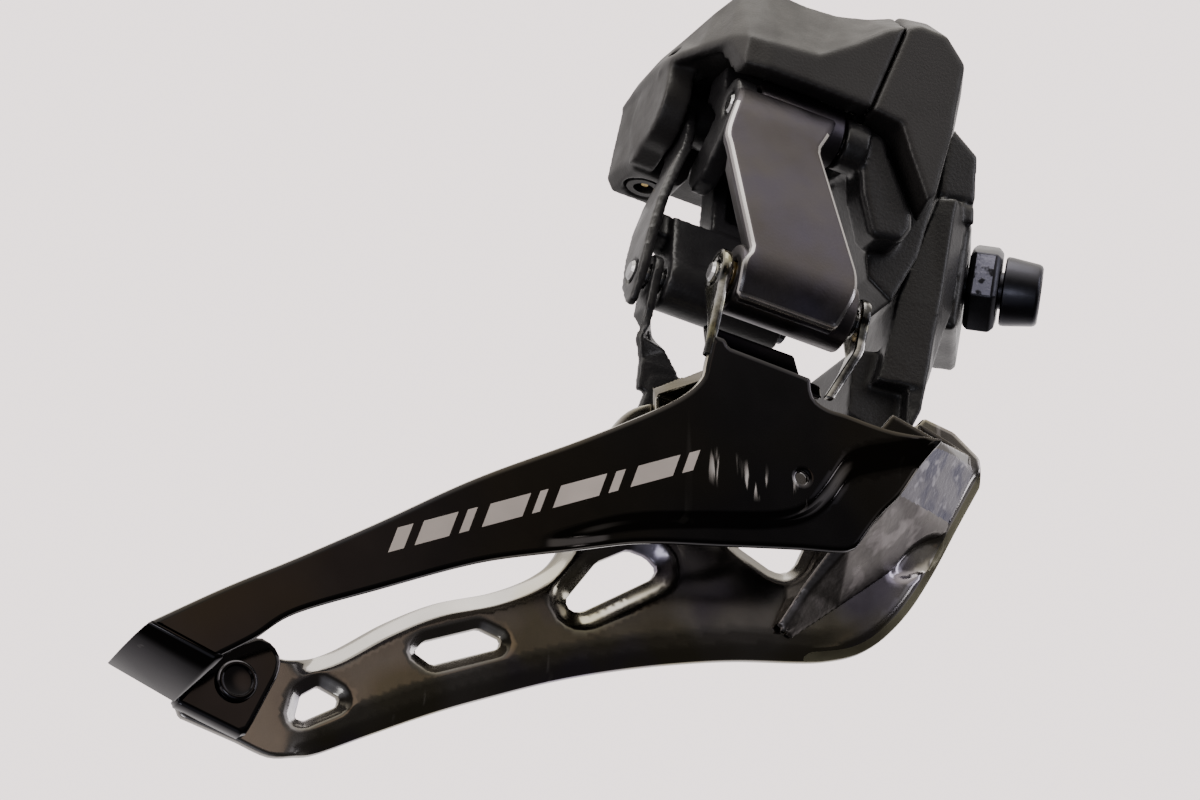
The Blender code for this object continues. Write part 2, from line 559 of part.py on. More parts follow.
GS = -11.7
output_gear = gear("output_gear", V(0, *Q1), P, Y, GEAR_TIP_R * K, GEAR_TEETH, GS - 0.7, GS + 0.7, 0.5, "brass")
cut(output_gear, rod("c", Q1, -14, -9, 1.9, "steel", 20))
CT = Q1[1] + 5.2
WM = (7.2, CT - 3.0)
cross = lathe("cross_shaft", [(0, -5.4), (0.7, -5.4), (0.7, 8.4), (0, 8.4)], V(GS, 0, CT), Y, "steel", 12)
add(cross, worm("w", V(GS, 0, CT), Y, P, 0.95, 0.2, -4.2, 0.8, 3, "steel"),
    gear("g", V(GS, 0, CT), Y, P, WHEEL_TIP_R * K, WHEEL_TEETH, WM[0] - 0.9, WM[0] + 0.9, 0.3, "brass"))
mw = lathe("motor_worm", [(0, -12.9), (0.6, -12.9), (0.6, -9.9), (0, -9.9)], V(0, *WM), P, "steel", 12)
add(mw, worm("w", V(0, *WM), P, Y, 1.25, 0.22, -12.7, -10.5, 2, "steel"))
MR = MOTOR_R * K
lathe("drive_motor", [(0, -9.5), (1.6, -9.5), (1.6, -9.0), (MR, -9.0), (MR, 7.4), (3.0, 8.0), (0, 8.0)],
      V(0, *WM), P, "steel", 24)

# ---------------------------------------------------------------- housing


def hull(d, s_lo, s_hi):
    """Main shell outline by stations along the pivots; d is the wall taken off all round."""
    st = [(-13.8, 8.8, -6.5, 7.0, 7.3), (-13.2, 10.4, -8.5, 7.0, 7.3), (-12.0, 12.0, -11.5, 7.0, 7.4),
        (-10.0, 14.9, -16.5, 7.0, 7.6), (-8.6, 16.6, -19.2, 3.6, 7.4), (-5.6, 18.3, -20.0, 3.6, 7.2),
          (0.0, 18.0, -20.0, 3.6, 7.8), (4.0, 18.3, -20.0, 3.6, 10.8), (8.0, 19.4, -20.0, 3.6, 14.4),
          (12.0, 21.2, -20.0, 3.6, 16.5), (15.6, 21.8, -20.0, 3.6, 16.4), (18.5, 20.4, -20.0, 3.6, 13.6),
          (20.9, 17.2, -14.4, 7.0, 12.8)]
    rings = []
    for s, tt, yo, tb, tw in st:
        if s < s_lo or s > s_hi:
            continue
        f = min(1.0, max(0.0, (s + 13.8) / 5.2))
        yi = 12.6 - (s - 12) * 0.45 if s > 12 else 12.6 - max(0.0, -9.4 - s) * 0.6
        yt = yo + 8.0
        skirt = tb < 7
        tw = max(tw, tb + 1.0)
        top = min(tt, 24)
        r = [(yo, tb), (yo, min(tw, top - 1.0)), (min(yt, 1.0), top), (yi - 3.5, top - 0.4),
            (yi, max(top - 4.0, 7.9)), (yi, 7.3), (max(yo + 3.2, -16.8) if skirt else yo + 3.2, 7.3),
            (max(yo + 3.2, -16.8) if skirt else yo + 3.2, tb)]
        if d > 0:
            yc = yo + d + max(0.0, 9.4 - tw)
            r = [(yc, 7.3 + 0.8), (yc, max(9.0, tw - 0.2)), (min(yt, 1.0) + 0.5, top - d * 1.15),
                (yi - 3.7, top - 0.4 - d), (yi - d, max(9.4, top - 4.4)), (yi - d, 7.3 + 0.8)]
        rings.append([V(s, y, t) for y, t in r])
    return rings


H = loft("motor_housing", hull(0, -14, 22), "black_plastic")
PORT = (-9.7, 6.2)                        # charging and wiring port, (along the pivots, inboard)
gc = rod("gc", Q1, -13.72, -10.3, 5.7, "black_plastic", 28)
lobe1 = prism_s("l1", [(1.95, -0.4), (3.2, -1.0), (11.2, -1.0), (12.45, 0.6), (12.4, 8.2), (1.95, 8.25)],
    -10.9, 9.6, "black_plastic")
lobe3 = prism_s("l4", [(1.98, -0.4), (3.2, -0.95), (8.8, -0.95), (9.98, 0.6), (9.95, 8.05), (1.98, 8.1)],
    -13.62, -10.8, "black_plastic")
lobe2 = prism_p("l2", [(-13.6, 2.1), (-13.6, -2.4), (-12.6, -3.8), (-6.6, -3.8), (-5.6, -2.4),
    (-5.6, 2.15)], 2.07, 9.9, "black_plastic")
rear = prism_s("l3", [(-6.9, 3.1), (-6.8, 8.0), (9.8, 7.95), (9.7, -1.6), (1.0, -3.6), (-3.0, -2.0)],
    -13.55, -10.36, "black_plastic")
add(H, gc, lobe1, lobe3, lobe2, rear)
inner = hull(WALL_T * K, -12.5, 19)
C1 = loft("c1", inner, "steel")
add(C1, prism_s("c", [(-5.7, 6.9), (-5.6, 9.8), (2.2, 9.7), (2.3, 6.95)], -13.05, -10.3, "steel"),
    prism_s("c", [(-5.9, 3.5), (-5.8, 9.9), (8.8, 9.95), (8.8, 3.6), (5.6, 3.4), (-3.0, 3.45)], -13.1,
    -10.9, "steel"),
    rod("c", Q1, -13.17, -10.83, 4.6, "steel", 26),
    rod("c", WM, -10.95, 8.6, 4.75, "steel", 22),
    prism_s("c", [(3.4, 4.0), (3.45, 9.55), (11.0, 9.6), (11.05, 4.0)], -10.1, 6.6, "steel"),
    rod("c", Q1, -11.5, -9.7, 2.6, "steel", 18))
cut(H, C1, lathe("c", [(0, -8), (2.55, -8), (2.55, -0.2), (0, -0.2)], V(*PORT, 0), U, "steel", 20))
TONGUE = [(7.9, 3.6), (12.1, 3.1), (13.7, 0.2), (17.2, -5.4), (18.1, -4.4), (18.7, 4.8), (18.4, 9.0),
    (9.6, 9.0)]


def half(name, lo, hi):
    f = lambda s, t: s + 0.19 * (t - 8)
    return prism_p(name, [(f(lo, -10), -10), (f(hi, -10), -10), (f(hi, 26), 26), (f(lo, 26), 26)], -25, 18,
        "steel")


tongue = loft("tg", [[V(s + shift, y, t) for s, t in TONGUE] for y, shift in ((-20.0, 0.0), (-13.3, 1.4))],
    "black_plastic")
cov = H.copy()
cov.data = H.data.copy()
cov.name = "motor_end_cover"
cov.data.name = "motor_end_cover"
bpy.context.collection.objects.link(cov)
cut(H, half("h", 8.8, 40))
cut(cov, half("h", -40, 9.1))
cut(tongue, half("h", -40, 9.1), prism_p("c", [(8.0, 8.1), (8.0, 12), (19.5, 12), (19.5, 8.1)], -18.8, -10,
    "steel"))
add(cov, tongue)

tube("shaft_bush_rear", Q1, -10.8, -10.3, 1.9, 2.3, "brass")
tube("shaft_bush_front", Q1, 8.7, 11.2, 1.9, 2.3, "brass")
prism_p("circuit_board", [(-5.0, 11.0), (7.0, 11.0), (7.0, 15.6), (-5.0, 15.6)], -11.0, -9.8, "board_green")
prism_p("position_sensor", [(-3.4, 10.6), (0.6, 10.6), (0.6, 12.4), (-3.4, 12.4)], -3.4, 0.6,
    "black_plastic")
lathe("port_socket", [(1.35, -3.7), (2.2, -3.7), (2.2, -0.6), (0, -0.6), (0, -1.5), (1.35, -1.5),
    (1.35, -3.7)], V(*PORT, 0), U, "black_plastic", 20)
lathe("port_contact", [(0, -3.2), (0.45, -3.2), (0.45, -1.8), (0, -1.8)], V(*PORT, 0), U, "brass", 10)
for i, (s, yy) in enumerate(((-2.0, -8.9), (4.4, -8.9))):
    lathe("housing_screw_%d" % (i + 1), [(0, 5.0), (0.8, 5.0), (0.8, 8.4), (1.5, 8.4), (1.5, 9.4),
        (0, 9.4)], V(s, yy, 0), U, "steel", 14)
    cut(H, lathe("c", [(0, 6.5), (1.1, 6.5), (1.1, 8.3), (0, 8.3)], V(s, yy, 0), U, "steel", 14))

# ---------------------------------------------------------------- base bracket
# the clamp bolt points forward, outboard and a little down
AZ, EL = CLAMP_OUTBOARD, CLAMP_DOWN
MB = Vector((math.cos(EL) * math.cos(AZ), -math.cos(EL) * math.sin(AZ), -math.sin(EL)))
MC = Vector((math.sin(AZ), math.cos(AZ), 0))
MU = MB.cross(MC)


def M(h, c, u):
    return MB * h + MC * c + MU * u


def mbox(h0, h1, pts, m, name="mb"):
    return loft(name, [[M(h, c, u) for c, u in pts] for h in (h0, h1)], m)


pad = mbox(-8.5, 0, [(-7.4, -8.4), (8.8, -8.4), (8.8, 5.0), (7.6, 6.2), (-6.2, 6.2), (-7.4, 5.0)], CL,
    "base_bracket")
bevel(pad, 0.5, 60)
lv = [(7.4, -7.6, -5.4, -3.6), (5.4, -8.4, -5.9, -3.2), (-6.7, -13.5, -8.1, -5.4),
    (-9.5, -14.2, -8.7, -6.6), (-15.4, -15.7, -9.8, -8.6), (-17.3, -16.5, -10.2, -9.4),
    (-17.8, -12.3, -10.3, -9.5), (-20.6, -12.6, -10.9, -10.4), (-23.0, -12.9, -12.2, -11.8)]
wd = loft("wd", [[W(xl, z, -9.0), W(xr, z, -9.6), W(xR, z, -7.2), W(xR - 0.6, z, 5.0),
    W(xl + 1.0, z, 5.8)] for z, xl, xr, xR in lv], CL)
top = prism_y("tp", [(-7.3, 7.0), (-5.5, 16.8), (-4.5, 17.1), (-1.6, 14.0), (-2.4, 5.0), (-7.3, 5.0)], -8.0,
    1.0, CL)
cut(top, prism_y("c", [(-9, 7.9), (-9, 8.6), (0, 7.6), (0, 6.9)], -9.5, -7.6, "steel"))
web = prism_p("web", [(9.2, 6.6), (19.3, 6.6), (21.0, 0.0), (20.3, -9.0), (18.0, -16.0), (14.5, -14.0),
    (12.4, -7.0), (9.2, -2.0)], -12.4, 1.4, CL)
wall = prism_p("wl", [(9.2, 2.6), (11.5, 2.3), (13.0, -0.5), (16.9, -6.3), (17.2, -8.2), (16.2, -10.4),
    (12.2, -11.0), (9.9, -6.0), (9.2, -3.4)], -17.2, -12.0, CL)
bevel(wall, 0.6, 50)
lpart = prism_y("lp", [(-18.4, -12.9), (-12.3, -12.4), (-12.4, -22.9), (-14.6, -23.6), (-19.3, -21.2)],
    -6.6, 7.6, CL)
beam = prism_s("bm", [(-11.4, 3.4), (-6.5, 3.4), (-6.5, 6.75), (-11.4, 6.75)], -8.1, 10.0, CL)
lugpts = circle(P1, 3.2, 20)


def lug(s0, s1):
    a = prism_s("lg", lugpts, s0, s1, CL)
    return add(a, prism_s("lg2", [(-16.4, -0.4), (-14.4, 2.4), (-12.7, 3.1), (-11.2, 6.7), (-7.1, 6.7),
        (-7.1, 3.6), (-12.4, -1.2)], s0 + 0.04, s1 - 0.04, CL))


fing = loft("fg", [[V(s, y + dy, t + dt) for s, dy, dt in ((-8.15, -2.3, -1.9), (-5.72, -2.3, -1.9),
    (-5.72, 2.0, 1.9), (-8.15, 2.0, 1.9))] for y, t in ((-14.6, -0.6), (-11.0, -4.2), (-8.2, -6.6))]
            + [[V(s, -6.9 + dy, -8.0 + dt) for s, dy, dt in ((-8.15, -1.2, -1.2), (-6.2, -1.2, -1.2),
            (-6.2, 0.9, 0.9), (-8.15, 0.9, 0.9))]], CL)
boss = rod("bs", Q1, 8.6, 12.0, 3.5, CL, 24)
bossw = prism_s("bw", [(-12.3, -2.0), (-12.3, 6.5), (-1.0, 6.5), (1.3, 3.2), (-1.7, -0.2)], 8.66, 11.0, CL)
add(pad, wd, top, web, wall, lpart, beam, lug(-8.2, -5.65), lug(6.3, 9.33), fing, boss, bossw)
SB = (round(SUPPORT_X * K, 6), round(SUPPORT_Z * K, 6))
cut(pad, rod("c", P1, -12, 14, PR + G, "steel", 16), rod("c", Q1, 8.0, 11.5, 2.6, "steel", 20),
    lathe("c", [(0, -3.5), (2.55, -3.5), (2.55, 12), (0, 12)], Vector((SB[0], 0, SB[1])), Y, "steel", 20),
    lathe("c", [(0, -13.5), (2.6, -13.5), (2.6, 2), (0, 2)], Vector((0, 0, 0)), MB, "steel", 20),
    lathe("c", [(0, -8), (1.6, -8), (1.6, 3), (0, 3)], V(*ADJUSTER), Y, "steel", 16),
    mbox(-0.4, 1.0, [(6.2, -10), (6.7, -10), (6.7, 8), (6.2, 8)], "steel"),
    lathe("c", [(0, 4.6), (1.1, 4.6), (1.1, 7.2), (0, 7.2)], V(-2.0, -8.9, 0), U, "steel", 14),
    lathe("c", [(0, 4.6), (1.1, 4.6), (1.1, 7.2), (0, 7.2)], V(4.4, -8.9, 0), U, "steel", 14))
pin("outer_link_upper_pin", P1, -8.2, 9.2, "steel")


def hexcut(o, ax, e1, r, h0, h1):
    e2 = ax.cross(e1)
    return loft("hx",
        [[o + ax * h + (e1 * math.cos(math.pi / 3 * i) + e2 * math.sin(math.pi / 3 * i)) * r for i in range(6)]
         for h in (h0, h1)], "steel")


O0 = Vector((0, 0, 0))
BR, BH = BOLT_R * K, BOLT_HEAD_R * K
cb = lathe("clamp_bolt", [(0, -12.0), (1.8, -12.0), (BR, -11.4), (BR, 4.6), (BH, 4.6), (BH, 5.4),
    (3.85, 9.1), (3.5, 9.4), (0, 9.4)], O0, MB, "black_steel", 28)
cut(cb, hexcut(O0, MB, MC, 2.6, 6.4, 11))
wr = []
for h, k in ((0.3, 0.92), (0.8, 1.0), (3.7, 1.0), (WASHER_H * K, 0.88)):
    wr.append([MB * h + (MC * math.sin(math.pi / 3 * i) + MU * math.cos(math.pi / 3 * i)) * WASHER_R * K * k
               for i in range(6)])
cw = loft("clamp_washer", wr, "black_steel")
cut(cw, lathe("c", [(0, -1), (2.7, -1), (2.7, 6), (0, 6)], O0, MB, "steel", 20))
sb = lathe("support_bolt", [(0, 2.0), (2.2, 2.0), (2.2, 11.4), (1.6, 12.6), (0, 12.6)],
    Vector((SB[0], 0, SB[1])), Y, "black_steel", 20)
cut(sb, hexcut(Vector((SB[0], 0, SB[1])), Y, Vector((1, 0, 0)), 1.2, 1.0, 4.5))
ab = lathe("stroke_adjust_bolt", [(0, -7.0), (1.25, -7.0), (1.25, 0.8), (0, 0.8)], V(*ADJUSTER), Y,
    "black_steel", 16)
cut(ab, hexcut(V(*ADJUSTER), Y, P, 0.8, -1.0, 1.5))

for o in bpy.data.objects:
    if o.type == 'MESH':
        o.data.name = o.name
        o.data.set_sharp_from_angle(angle=math.radians(32))
        for p in o.data.polygons:
            p.use_smooth = True

# Moving pieces hang from an empty on their joint's axis, with the empty's X along that axis


def hang(joint, place, axis, pieces):
    pivot = bpy.data.objects.new(joint + "_axis", None)
    pivot.empty_display_type = 'ARROWS'
    pivot.empty_display_size = 0.005
    pivot.location = place * 0.001
    pivot.rotation_mode = 'QUATERNION'
    pivot.rotation_quaternion = axis.to_track_quat('X', 'Z')
    bpy.context.collection.objects.link(pivot)
    bpy.context.view_layer.update()
    for piece in pieces:
        child = bpy.data.objects[piece]
        child.parent = pivot
        child.matrix_parent_inverse = pivot.matrix_world.inverted()


hang("outer_link_swing", V(0, *P1), -P, ["outer_link", "outer_link_upper_bush", "outer_link_lower_bush"])
hang("cage_pivot", V(0, *P2), -P, ["outer_plate", "inner_plate", "tail_rivet", "nose_bridge",
    "nose_rivet_upper", "nose_rivet_lower", "roof_bridge",
     "roof_rivet_rear", "roof_rivet_front", "guide_arm", "outer_link_lower_pin"])
hang("inner_link_swing", V(0, *Q1), -P, ["inner_link", "inner_link_lower_pin", "lower_pin_clip",
    "saver_spring", "drive_shaft", "output_gear"])
hang("cross_shaft_spin", V(GS, 0, CT), Y, ["cross_shaft"])
hang("motor_worm_spin", V(0, *WM), P, ["motor_worm"])
hang("support_bolt_travel", Vector((SB[0], 0, SB[1])), Y, ["support_bolt"])
hang("stroke_adjust_travel", V(*ADJUSTER), Y, ["stroke_adjust_bolt"])
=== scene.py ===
"""Looks of the electronic front derailleur: pressed plates, castings, moulded housing and their finishes."""
import json
import math

import bmesh
import bpy
import numpy as np
from mathutils import Matrix, Vector
from mathutils.geometry import delaunay_2d_cdt

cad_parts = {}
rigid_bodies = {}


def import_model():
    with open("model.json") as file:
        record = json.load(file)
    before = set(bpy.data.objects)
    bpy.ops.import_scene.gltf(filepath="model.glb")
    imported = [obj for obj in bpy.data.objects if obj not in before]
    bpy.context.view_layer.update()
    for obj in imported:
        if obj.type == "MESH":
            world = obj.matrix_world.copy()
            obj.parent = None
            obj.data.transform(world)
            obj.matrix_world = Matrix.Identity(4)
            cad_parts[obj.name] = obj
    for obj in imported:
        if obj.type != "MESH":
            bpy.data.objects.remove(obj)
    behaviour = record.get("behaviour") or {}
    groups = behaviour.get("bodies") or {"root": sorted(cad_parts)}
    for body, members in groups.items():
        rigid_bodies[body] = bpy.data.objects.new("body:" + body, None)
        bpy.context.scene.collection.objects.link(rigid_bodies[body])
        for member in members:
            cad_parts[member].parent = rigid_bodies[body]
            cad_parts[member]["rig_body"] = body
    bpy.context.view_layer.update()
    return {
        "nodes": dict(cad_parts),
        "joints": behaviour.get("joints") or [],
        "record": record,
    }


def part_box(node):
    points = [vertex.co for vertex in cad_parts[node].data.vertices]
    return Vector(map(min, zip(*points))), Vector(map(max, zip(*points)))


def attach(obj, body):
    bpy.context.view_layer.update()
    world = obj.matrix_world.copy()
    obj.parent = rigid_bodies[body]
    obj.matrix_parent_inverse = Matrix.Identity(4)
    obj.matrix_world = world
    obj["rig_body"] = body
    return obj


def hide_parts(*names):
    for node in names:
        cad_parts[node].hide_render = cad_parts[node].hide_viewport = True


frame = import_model()
NODES = frame["nodes"]
JOINTS = {joint["name"]: joint for joint in frame["joints"]}
MM = 0.001

# Driving places, in millimetres, taken from the frame's own joints and nodes
AXIS = -Vector(JOINTS["outer_link_swing"]["axis"])      # along the link pivots, forward
LATERAL = Vector((0, 1, 0))
RISE = AXIS.cross(LATERAL)                              # across the pivots, upward
UPPER = Vector(JOINTS["outer_link_swing"]["pos_m"]) / MM
LOWER = Vector(JOINTS["cage_pivot"]["pos_m"]) / MM
PLATE = 1.2
PIN_HOLE = 1.55
EAR_RADIUS = 2.95
WRAP_RADIUS = 6.2                                       # of the link's face round its lower barrel
BARREL_BORE = 2.25
BUMP_DEPTH = 0.0001                                     # in metres
OUTER_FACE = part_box("outer_plate")[0].y / MM
INNER_FACE = -14.5

# ---------------------------------------------------------------- materials


def material(name, colour, roughness, metallic, grain=0.0, grain_scale=900.0, mottle=None, scuffs=0.0,
             coat=0.0, worn=()):
    """A finish with fine grain, cloudy colour and roughness, and optional hairline scuffs."""
    made = bpy.data.materials.new(name)
    made.use_nodes = True
    tree = made.node_tree
    shader = tree.nodes["Principled BSDF"]
    shader.inputs["Metallic"].default_value = metallic
    shader.inputs["Coat Weight"].default_value = coat
    shader.inputs["Coat Roughness"].default_value = 0.08
    place = tree.nodes.new("ShaderNodeTexCoord").outputs["Object"]

    def noise(scale, detail=4.0, stretch=None):
        source = place
        if stretch:
            turn = tree.nodes.new("ShaderNodeMapping")
            turn.inputs["Scale"].default_value = stretch[:3]
            turn.inputs["Rotation"].default_value = stretch[3]
            tree.links.new(place, turn.inputs["Vector"])
            source = turn.outputs["Vector"]
        texture = tree.nodes.new("ShaderNodeTexNoise")
        texture.inputs["Scale"].default_value = scale
        texture.inputs["Detail"].default_value = detail
        tree.links.new(source, texture.inputs["Vector"])
        return texture.outputs["Fac"]

    def spread(value, low, high, out_low, out_high):
        node = tree.nodes.new("ShaderNodeMapRange")
        node.inputs["From Min"].default_value = low
        node.inputs["From Max"].default_value = high
        node.inputs["To Min"].default_value = out_low
        node.inputs["To Max"].default_value = out_high
        tree.links.new(value, node.inputs["Value"])
        return node.outputs["Result"]

    def blend(kind, factor, a, b):
        node = tree.nodes.new("ShaderNodeMix")
        node.data_type = "RGBA"
        node.blend_type = kind
        for socket, value in ((0, factor), (6, a), (7, b)):
            if isinstance(value, bpy.types.NodeSocket):
                tree.links.new(value, node.inputs[socket])
            else:
                node.inputs[socket].default_value = value
        return node.outputs[2]

    cloud = noise(95.0, 3.0)
    base = blend("MIX", spread(cloud, 0.35, 0.65, 0.0, 1.0), (*[c * 0.86 for c in colour], 1),
                 (*[min(1, c * 1.12) for c in colour], 1))
    for tint, scale, low, high in mottle or ():
        base = blend("MIX", spread(noise(scale, 2.0), low, high, 0.0, 1.0), base, (*tint, 1))
    rough = spread(noise(260.0), 0.3, 0.7, roughness * 0.82, roughness * 1.2)
    if scuffs:
        hair = spread(noise(420.0, 2.0, (1.0, 1.0, 0.05, (0.0, 0.35, 0.0))), 0.66, 0.74, 0.0, 1.0)
        patch = spread(noise(48.0, 2.0), 0.5, 0.62, 0.0, scuffs)
        both = tree.nodes.new("ShaderNodeMath")
        both.operation = "MULTIPLY"
        tree.links.new(hair, both.inputs[0])
        tree.links.new(patch, both.inputs[1])
        base = blend("MIX", both.outputs[0], base, (0.62, 0.6, 0.58, 1))
        more = tree.nodes.new("ShaderNodeMath")
        more.operation = "MULTIPLY_ADD"
        more.inputs[1].default_value = 0.35
        tree.links.new(both.outputs[0], more.inputs[0])
        tree.links.new(rough, more.inputs[2])
        rough = more.outputs[0]
    for centre, radius, angle in worn:
        away = tree.nodes.new("ShaderNodeVectorMath")
        away.operation = "DISTANCE"
        away.inputs[1].default_value = Vector(centre) * MM
        tree.links.new(place, away.inputs[0])
        near = spread(away.outputs["Value"], radius * 0.35 * MM, radius * MM, 1.0, 0.0)
        streaks = spread(noise(900.0, 3.0, (1.0, 1.0, 0.12, (0.0, math.radians(angle), 0.0))),
                         0.6, 0.66, 0.0, 1.0)
        meet = tree.nodes.new("ShaderNodeMath")
        meet.operation = "MULTIPLY"
        tree.links.new(near, meet.inputs[0])
        tree.links.new(streaks, meet.inputs[1])
        base = blend("MIX", meet.outputs[0], base, (0.75, 0.72, 0.7, 1))
        fuzz = tree.nodes.new("ShaderNodeMath")
        fuzz.operation = "MULTIPLY_ADD"
        fuzz.inputs[1].default_value = 0.4
        tree.links.new(meet.outputs[0], fuzz.inputs[0])
        tree.links.new(rough, fuzz.inputs[2])
        rough = fuzz.outputs[0]
    tree.links.new(base, shader.inputs["Base Color"])
    tree.links.new(rough, shader.inputs["Roughness"])
    if grain:
        bump = tree.nodes.new("ShaderNodeBump")
        bump.inputs["Strength"].default_value = grain
        bump.inputs["Distance"].default_value = BUMP_DEPTH
        tree.links.new(noise(grain_scale, 3.0), bump.inputs["Height"])
        tree.links.new(bump.outputs["Normal"], shader.inputs["Normal"])
    made.diffuse_color = (*colour, 1)
    return made


OLIVE = (0.21, 0.2, 0.13)
FINISH = {"black_chrome": material("black_chrome", (0.05, 0.048, 0.052), 0.09, 1.0, 0.02, 300.0,
                                   [((0.06, 0.054, 0.046), 40.0, 0.45, 0.6)], 0.2,
                                   worn=[((-46.2, -28.0, -34.5), 2.6, 12),
                                         ((-44.4, -28.0, -37.4), 2.6, -38),
                                         ((-40.5, -28.0, -38.4), 2.6, -50),
                                         ((-36.0, -28.0, -39.6), 2.4, 60)]),
          "dark_chrome": material("dark_chrome", (0.34, 0.325, 0.31), 0.15, 1.0, 0.05, 500.0,
                                  [((0.27, 0.25, 0.19), 60.0, 0.5, 0.62),
                                   ((0.24, 0.22, 0.27), 75.0, 0.55, 0.66)], 0.8),
          "bright_chrome": material("bright_chrome", (0.36, 0.35, 0.33), 0.14, 1.0, 0.5, 900.0,
                                    [(OLIVE, 190.0, 0.5, 0.6), ((0.06, 0.06, 0.06), 260.0, 0.5, 0.6)], 0.6),
          "nose_chrome": material("nose_chrome", (0.17, 0.165, 0.19), 0.22, 1.0, 0.55, 1500.0,
                                  [((0.07, 0.07, 0.11), 230.0, 0.45, 0.6),
                                   ((0.3, 0.29, 0.33), 420.0, 0.58, 0.66)], 0.9),
          "frosted_chrome": material("frosted_chrome", (0.17, 0.158, 0.152), 0.33, 1.0, 0.4, 1300.0,
                                     [((0.11, 0.1, 0.1), 150.0, 0.45, 0.62),
                                      ((0.24, 0.22, 0.22), 330.0, 0.55, 0.66)], 0.6),
          # olive colour that paints the reflection of the surroundings onto the inner plate's front edge
          "olive_reflection_edge": material("olive_reflection_edge", (0.2, 0.19, 0.125), 0.3, 0.5, 0.05, 900.0,
                                 [((0.12, 0.11, 0.07), 120.0, 0.45, 0.65)]),
          "satin_link": material("satin_link", (0.072, 0.065, 0.067), 0.4, 1.0, 0.15, 2600.0,
                                 [((0.068, 0.062, 0.08), 160.0, 0.4, 0.7)], 0.12),
          # pale chrome for upward-facing rims: partly worn edge, partly a painted highlight where light
          # falls on the top edge
          "worn_edge_and_highlight": material("worn_edge_and_highlight", (0.66, 0.61, 0.52), 0.2, 1.0, 0.2, 900.0,
                                [((0.3, 0.28, 0.22), 160.0, 0.45, 0.6)]),
          "pale_print": material("pale_print", (0.56, 0.5, 0.46), 0.42, 0.25, 0.05, 1500.0),
          "polished_edge": material("polished_edge", (0.4, 0.385, 0.39), 0.24, 1.0, 0.03, 900.0),
          "black_cast": material("black_cast", (0.012, 0.0115, 0.013), 0.38, 0.0, 0.35, 2400.0, coat=0.1),
          "black_plastic": material("black_plastic", (0.017, 0.0155, 0.0155), 0.46, 0.0, 0.3, 3200.0),
          "steel": material("steel", (0.5, 0.5, 0.51), 0.2, 1.0, 0.05, 900.0, scuffs=0.3),
          "black_steel": material("black_steel", (0.05, 0.05, 0.06), 0.34, 1.0, 0.1, 1200.0),
          # pale lavender for a worn facet, with a painted reflection in its colour
          "frosted_facet_and_reflection": material("frosted_facet_and_reflection", (0.36, 0.36, 0.47), 0.3, 0.35, 0.9, 1500.0,
                                    [((0.03, 0.03, 0.04), 750.0, 0.52, 0.6)]),
          "brass": material("brass", (0.5, 0.36, 0.14), 0.28, 1.0, 0.05, 900.0),
          "circuit_green": material("circuit_green", (0.02, 0.1, 0.04), 0.4, 0.0, 0.05, 900.0)}
SLOT_OF = {row["node"]: row["material_slot"] for row in frame["record"]["subparts"]}
for node, slot_name in SLOT_OF.items():
    NODES[node].data.materials.clear()
    NODES[node].data.materials.append(FINISH[slot_name])

# ---------------------------------------------------------------- shape tools


def new_piece(name, mesh, body, slot_name, replaced=(), sharp=35):
    """A finished piece that rides on a CAD body and takes a record slot."""
    mesh.name = name
    piece = bpy.data.objects.new(name, mesh)
    bpy.context.scene.collection.objects.link(piece)
    if not mesh.materials:
        mesh.materials.append(FINISH[slot_name])
    mesh.shade_smooth()
    mesh.set_sharp_from_angle(angle=math.radians(sharp))
    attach(piece, body)
    if replaced:
        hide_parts(*replaced)
    return piece


def mesh_from(vertices, faces, name):
    """A closed mesh from points in millimetres, with its faces pointing out."""
    shape = bmesh.new()
    points = [shape.verts.new(Vector(v) * MM) for v in vertices]
    for face in faces:
        if len(set(face)) > 2:
            shape.faces.new([points[i] for i in face])
    bmesh.ops.remove_doubles(shape, verts=shape.verts, dist=1e-7)
    bmesh.ops.recalc_face_normals(shape, faces=shape.faces)
    if shape.calc_volume(signed=True) < 0:
        bmesh.ops.reverse_faces(shape, faces=shape.faces)
    mesh = bpy.data.meshes.new(name)
    shape.to_mesh(mesh)
    shape.free()
    return mesh


def loft(name, rings, cap=True):
    """A mesh through equal rings of points, in millimetres."""
    count = len(rings[0])
    vertices = [v for ring in rings for v in ring]
    faces = []
    for row in range(len(rings) - 1):
        for i in range(count):
            j = (i + 1) % count
            faces.append((row * count + i, row * count + j, (row + 1) * count + j, (row + 1) * count + i))
    if cap:
        faces.append(tuple(range(count)))
        faces.append(tuple((len(rings) - 1) * count + i for i in range(count)))
    return mesh_from(vertices, faces, name)


def smooth_run(points, step=0.7):
    """A Catmull-Rom curve through the points, sampled about every step millimetres."""
    made = []
    for i in range(len(points) - 1):
        a = Vector(points[max(i - 1, 0)])
        b, c = Vector(points[i]), Vector(points[i + 1])
        d = Vector(points[min(i + 2, len(points) - 1)])
        count = max(1, round((c - b).length / step))
        for k in range(count):
            t = k / count
            made.append(0.5 * ((2 * b) + (c - a) * t + (2 * a - 5 * b + 4 * c - d) * t * t
                               + (3 * b - a - 3 * c + d) * t ** 3))
    return made


def closed_outline(runs, corner=0.5, step=0.7):
    """A closed outline of smooth runs; neighbouring runs meet in a corner rounded by corner millimetres."""
    loop = [smooth_run(run, step) + [Vector(run[-1])] for run in runs]
    made = []
    for k, curve in enumerate(loop):
        previous = loop[k - 1]
        tip = curve[0]
        back = (previous[-2] - tip).normalized()
        ahead = (curve[1] - tip).normalized()
        start, end = tip + back * corner, tip + ahead * corner
        made += [start.lerp(tip, 0.55), (start + end + 2 * tip) / 4, end.lerp(tip, 0.55)]
        made += [p for p in curve[1:-1] if (p - tip).length > corner and (p - curve[-1]).length > corner]
    return made


def circle(centre, radius, count=32):
    return [Vector((centre[0] + radius * math.cos(2 * math.pi * i / count),
                    centre[1] + radius * math.sin(2 * math.pi * i / count))) for i in range(count)]


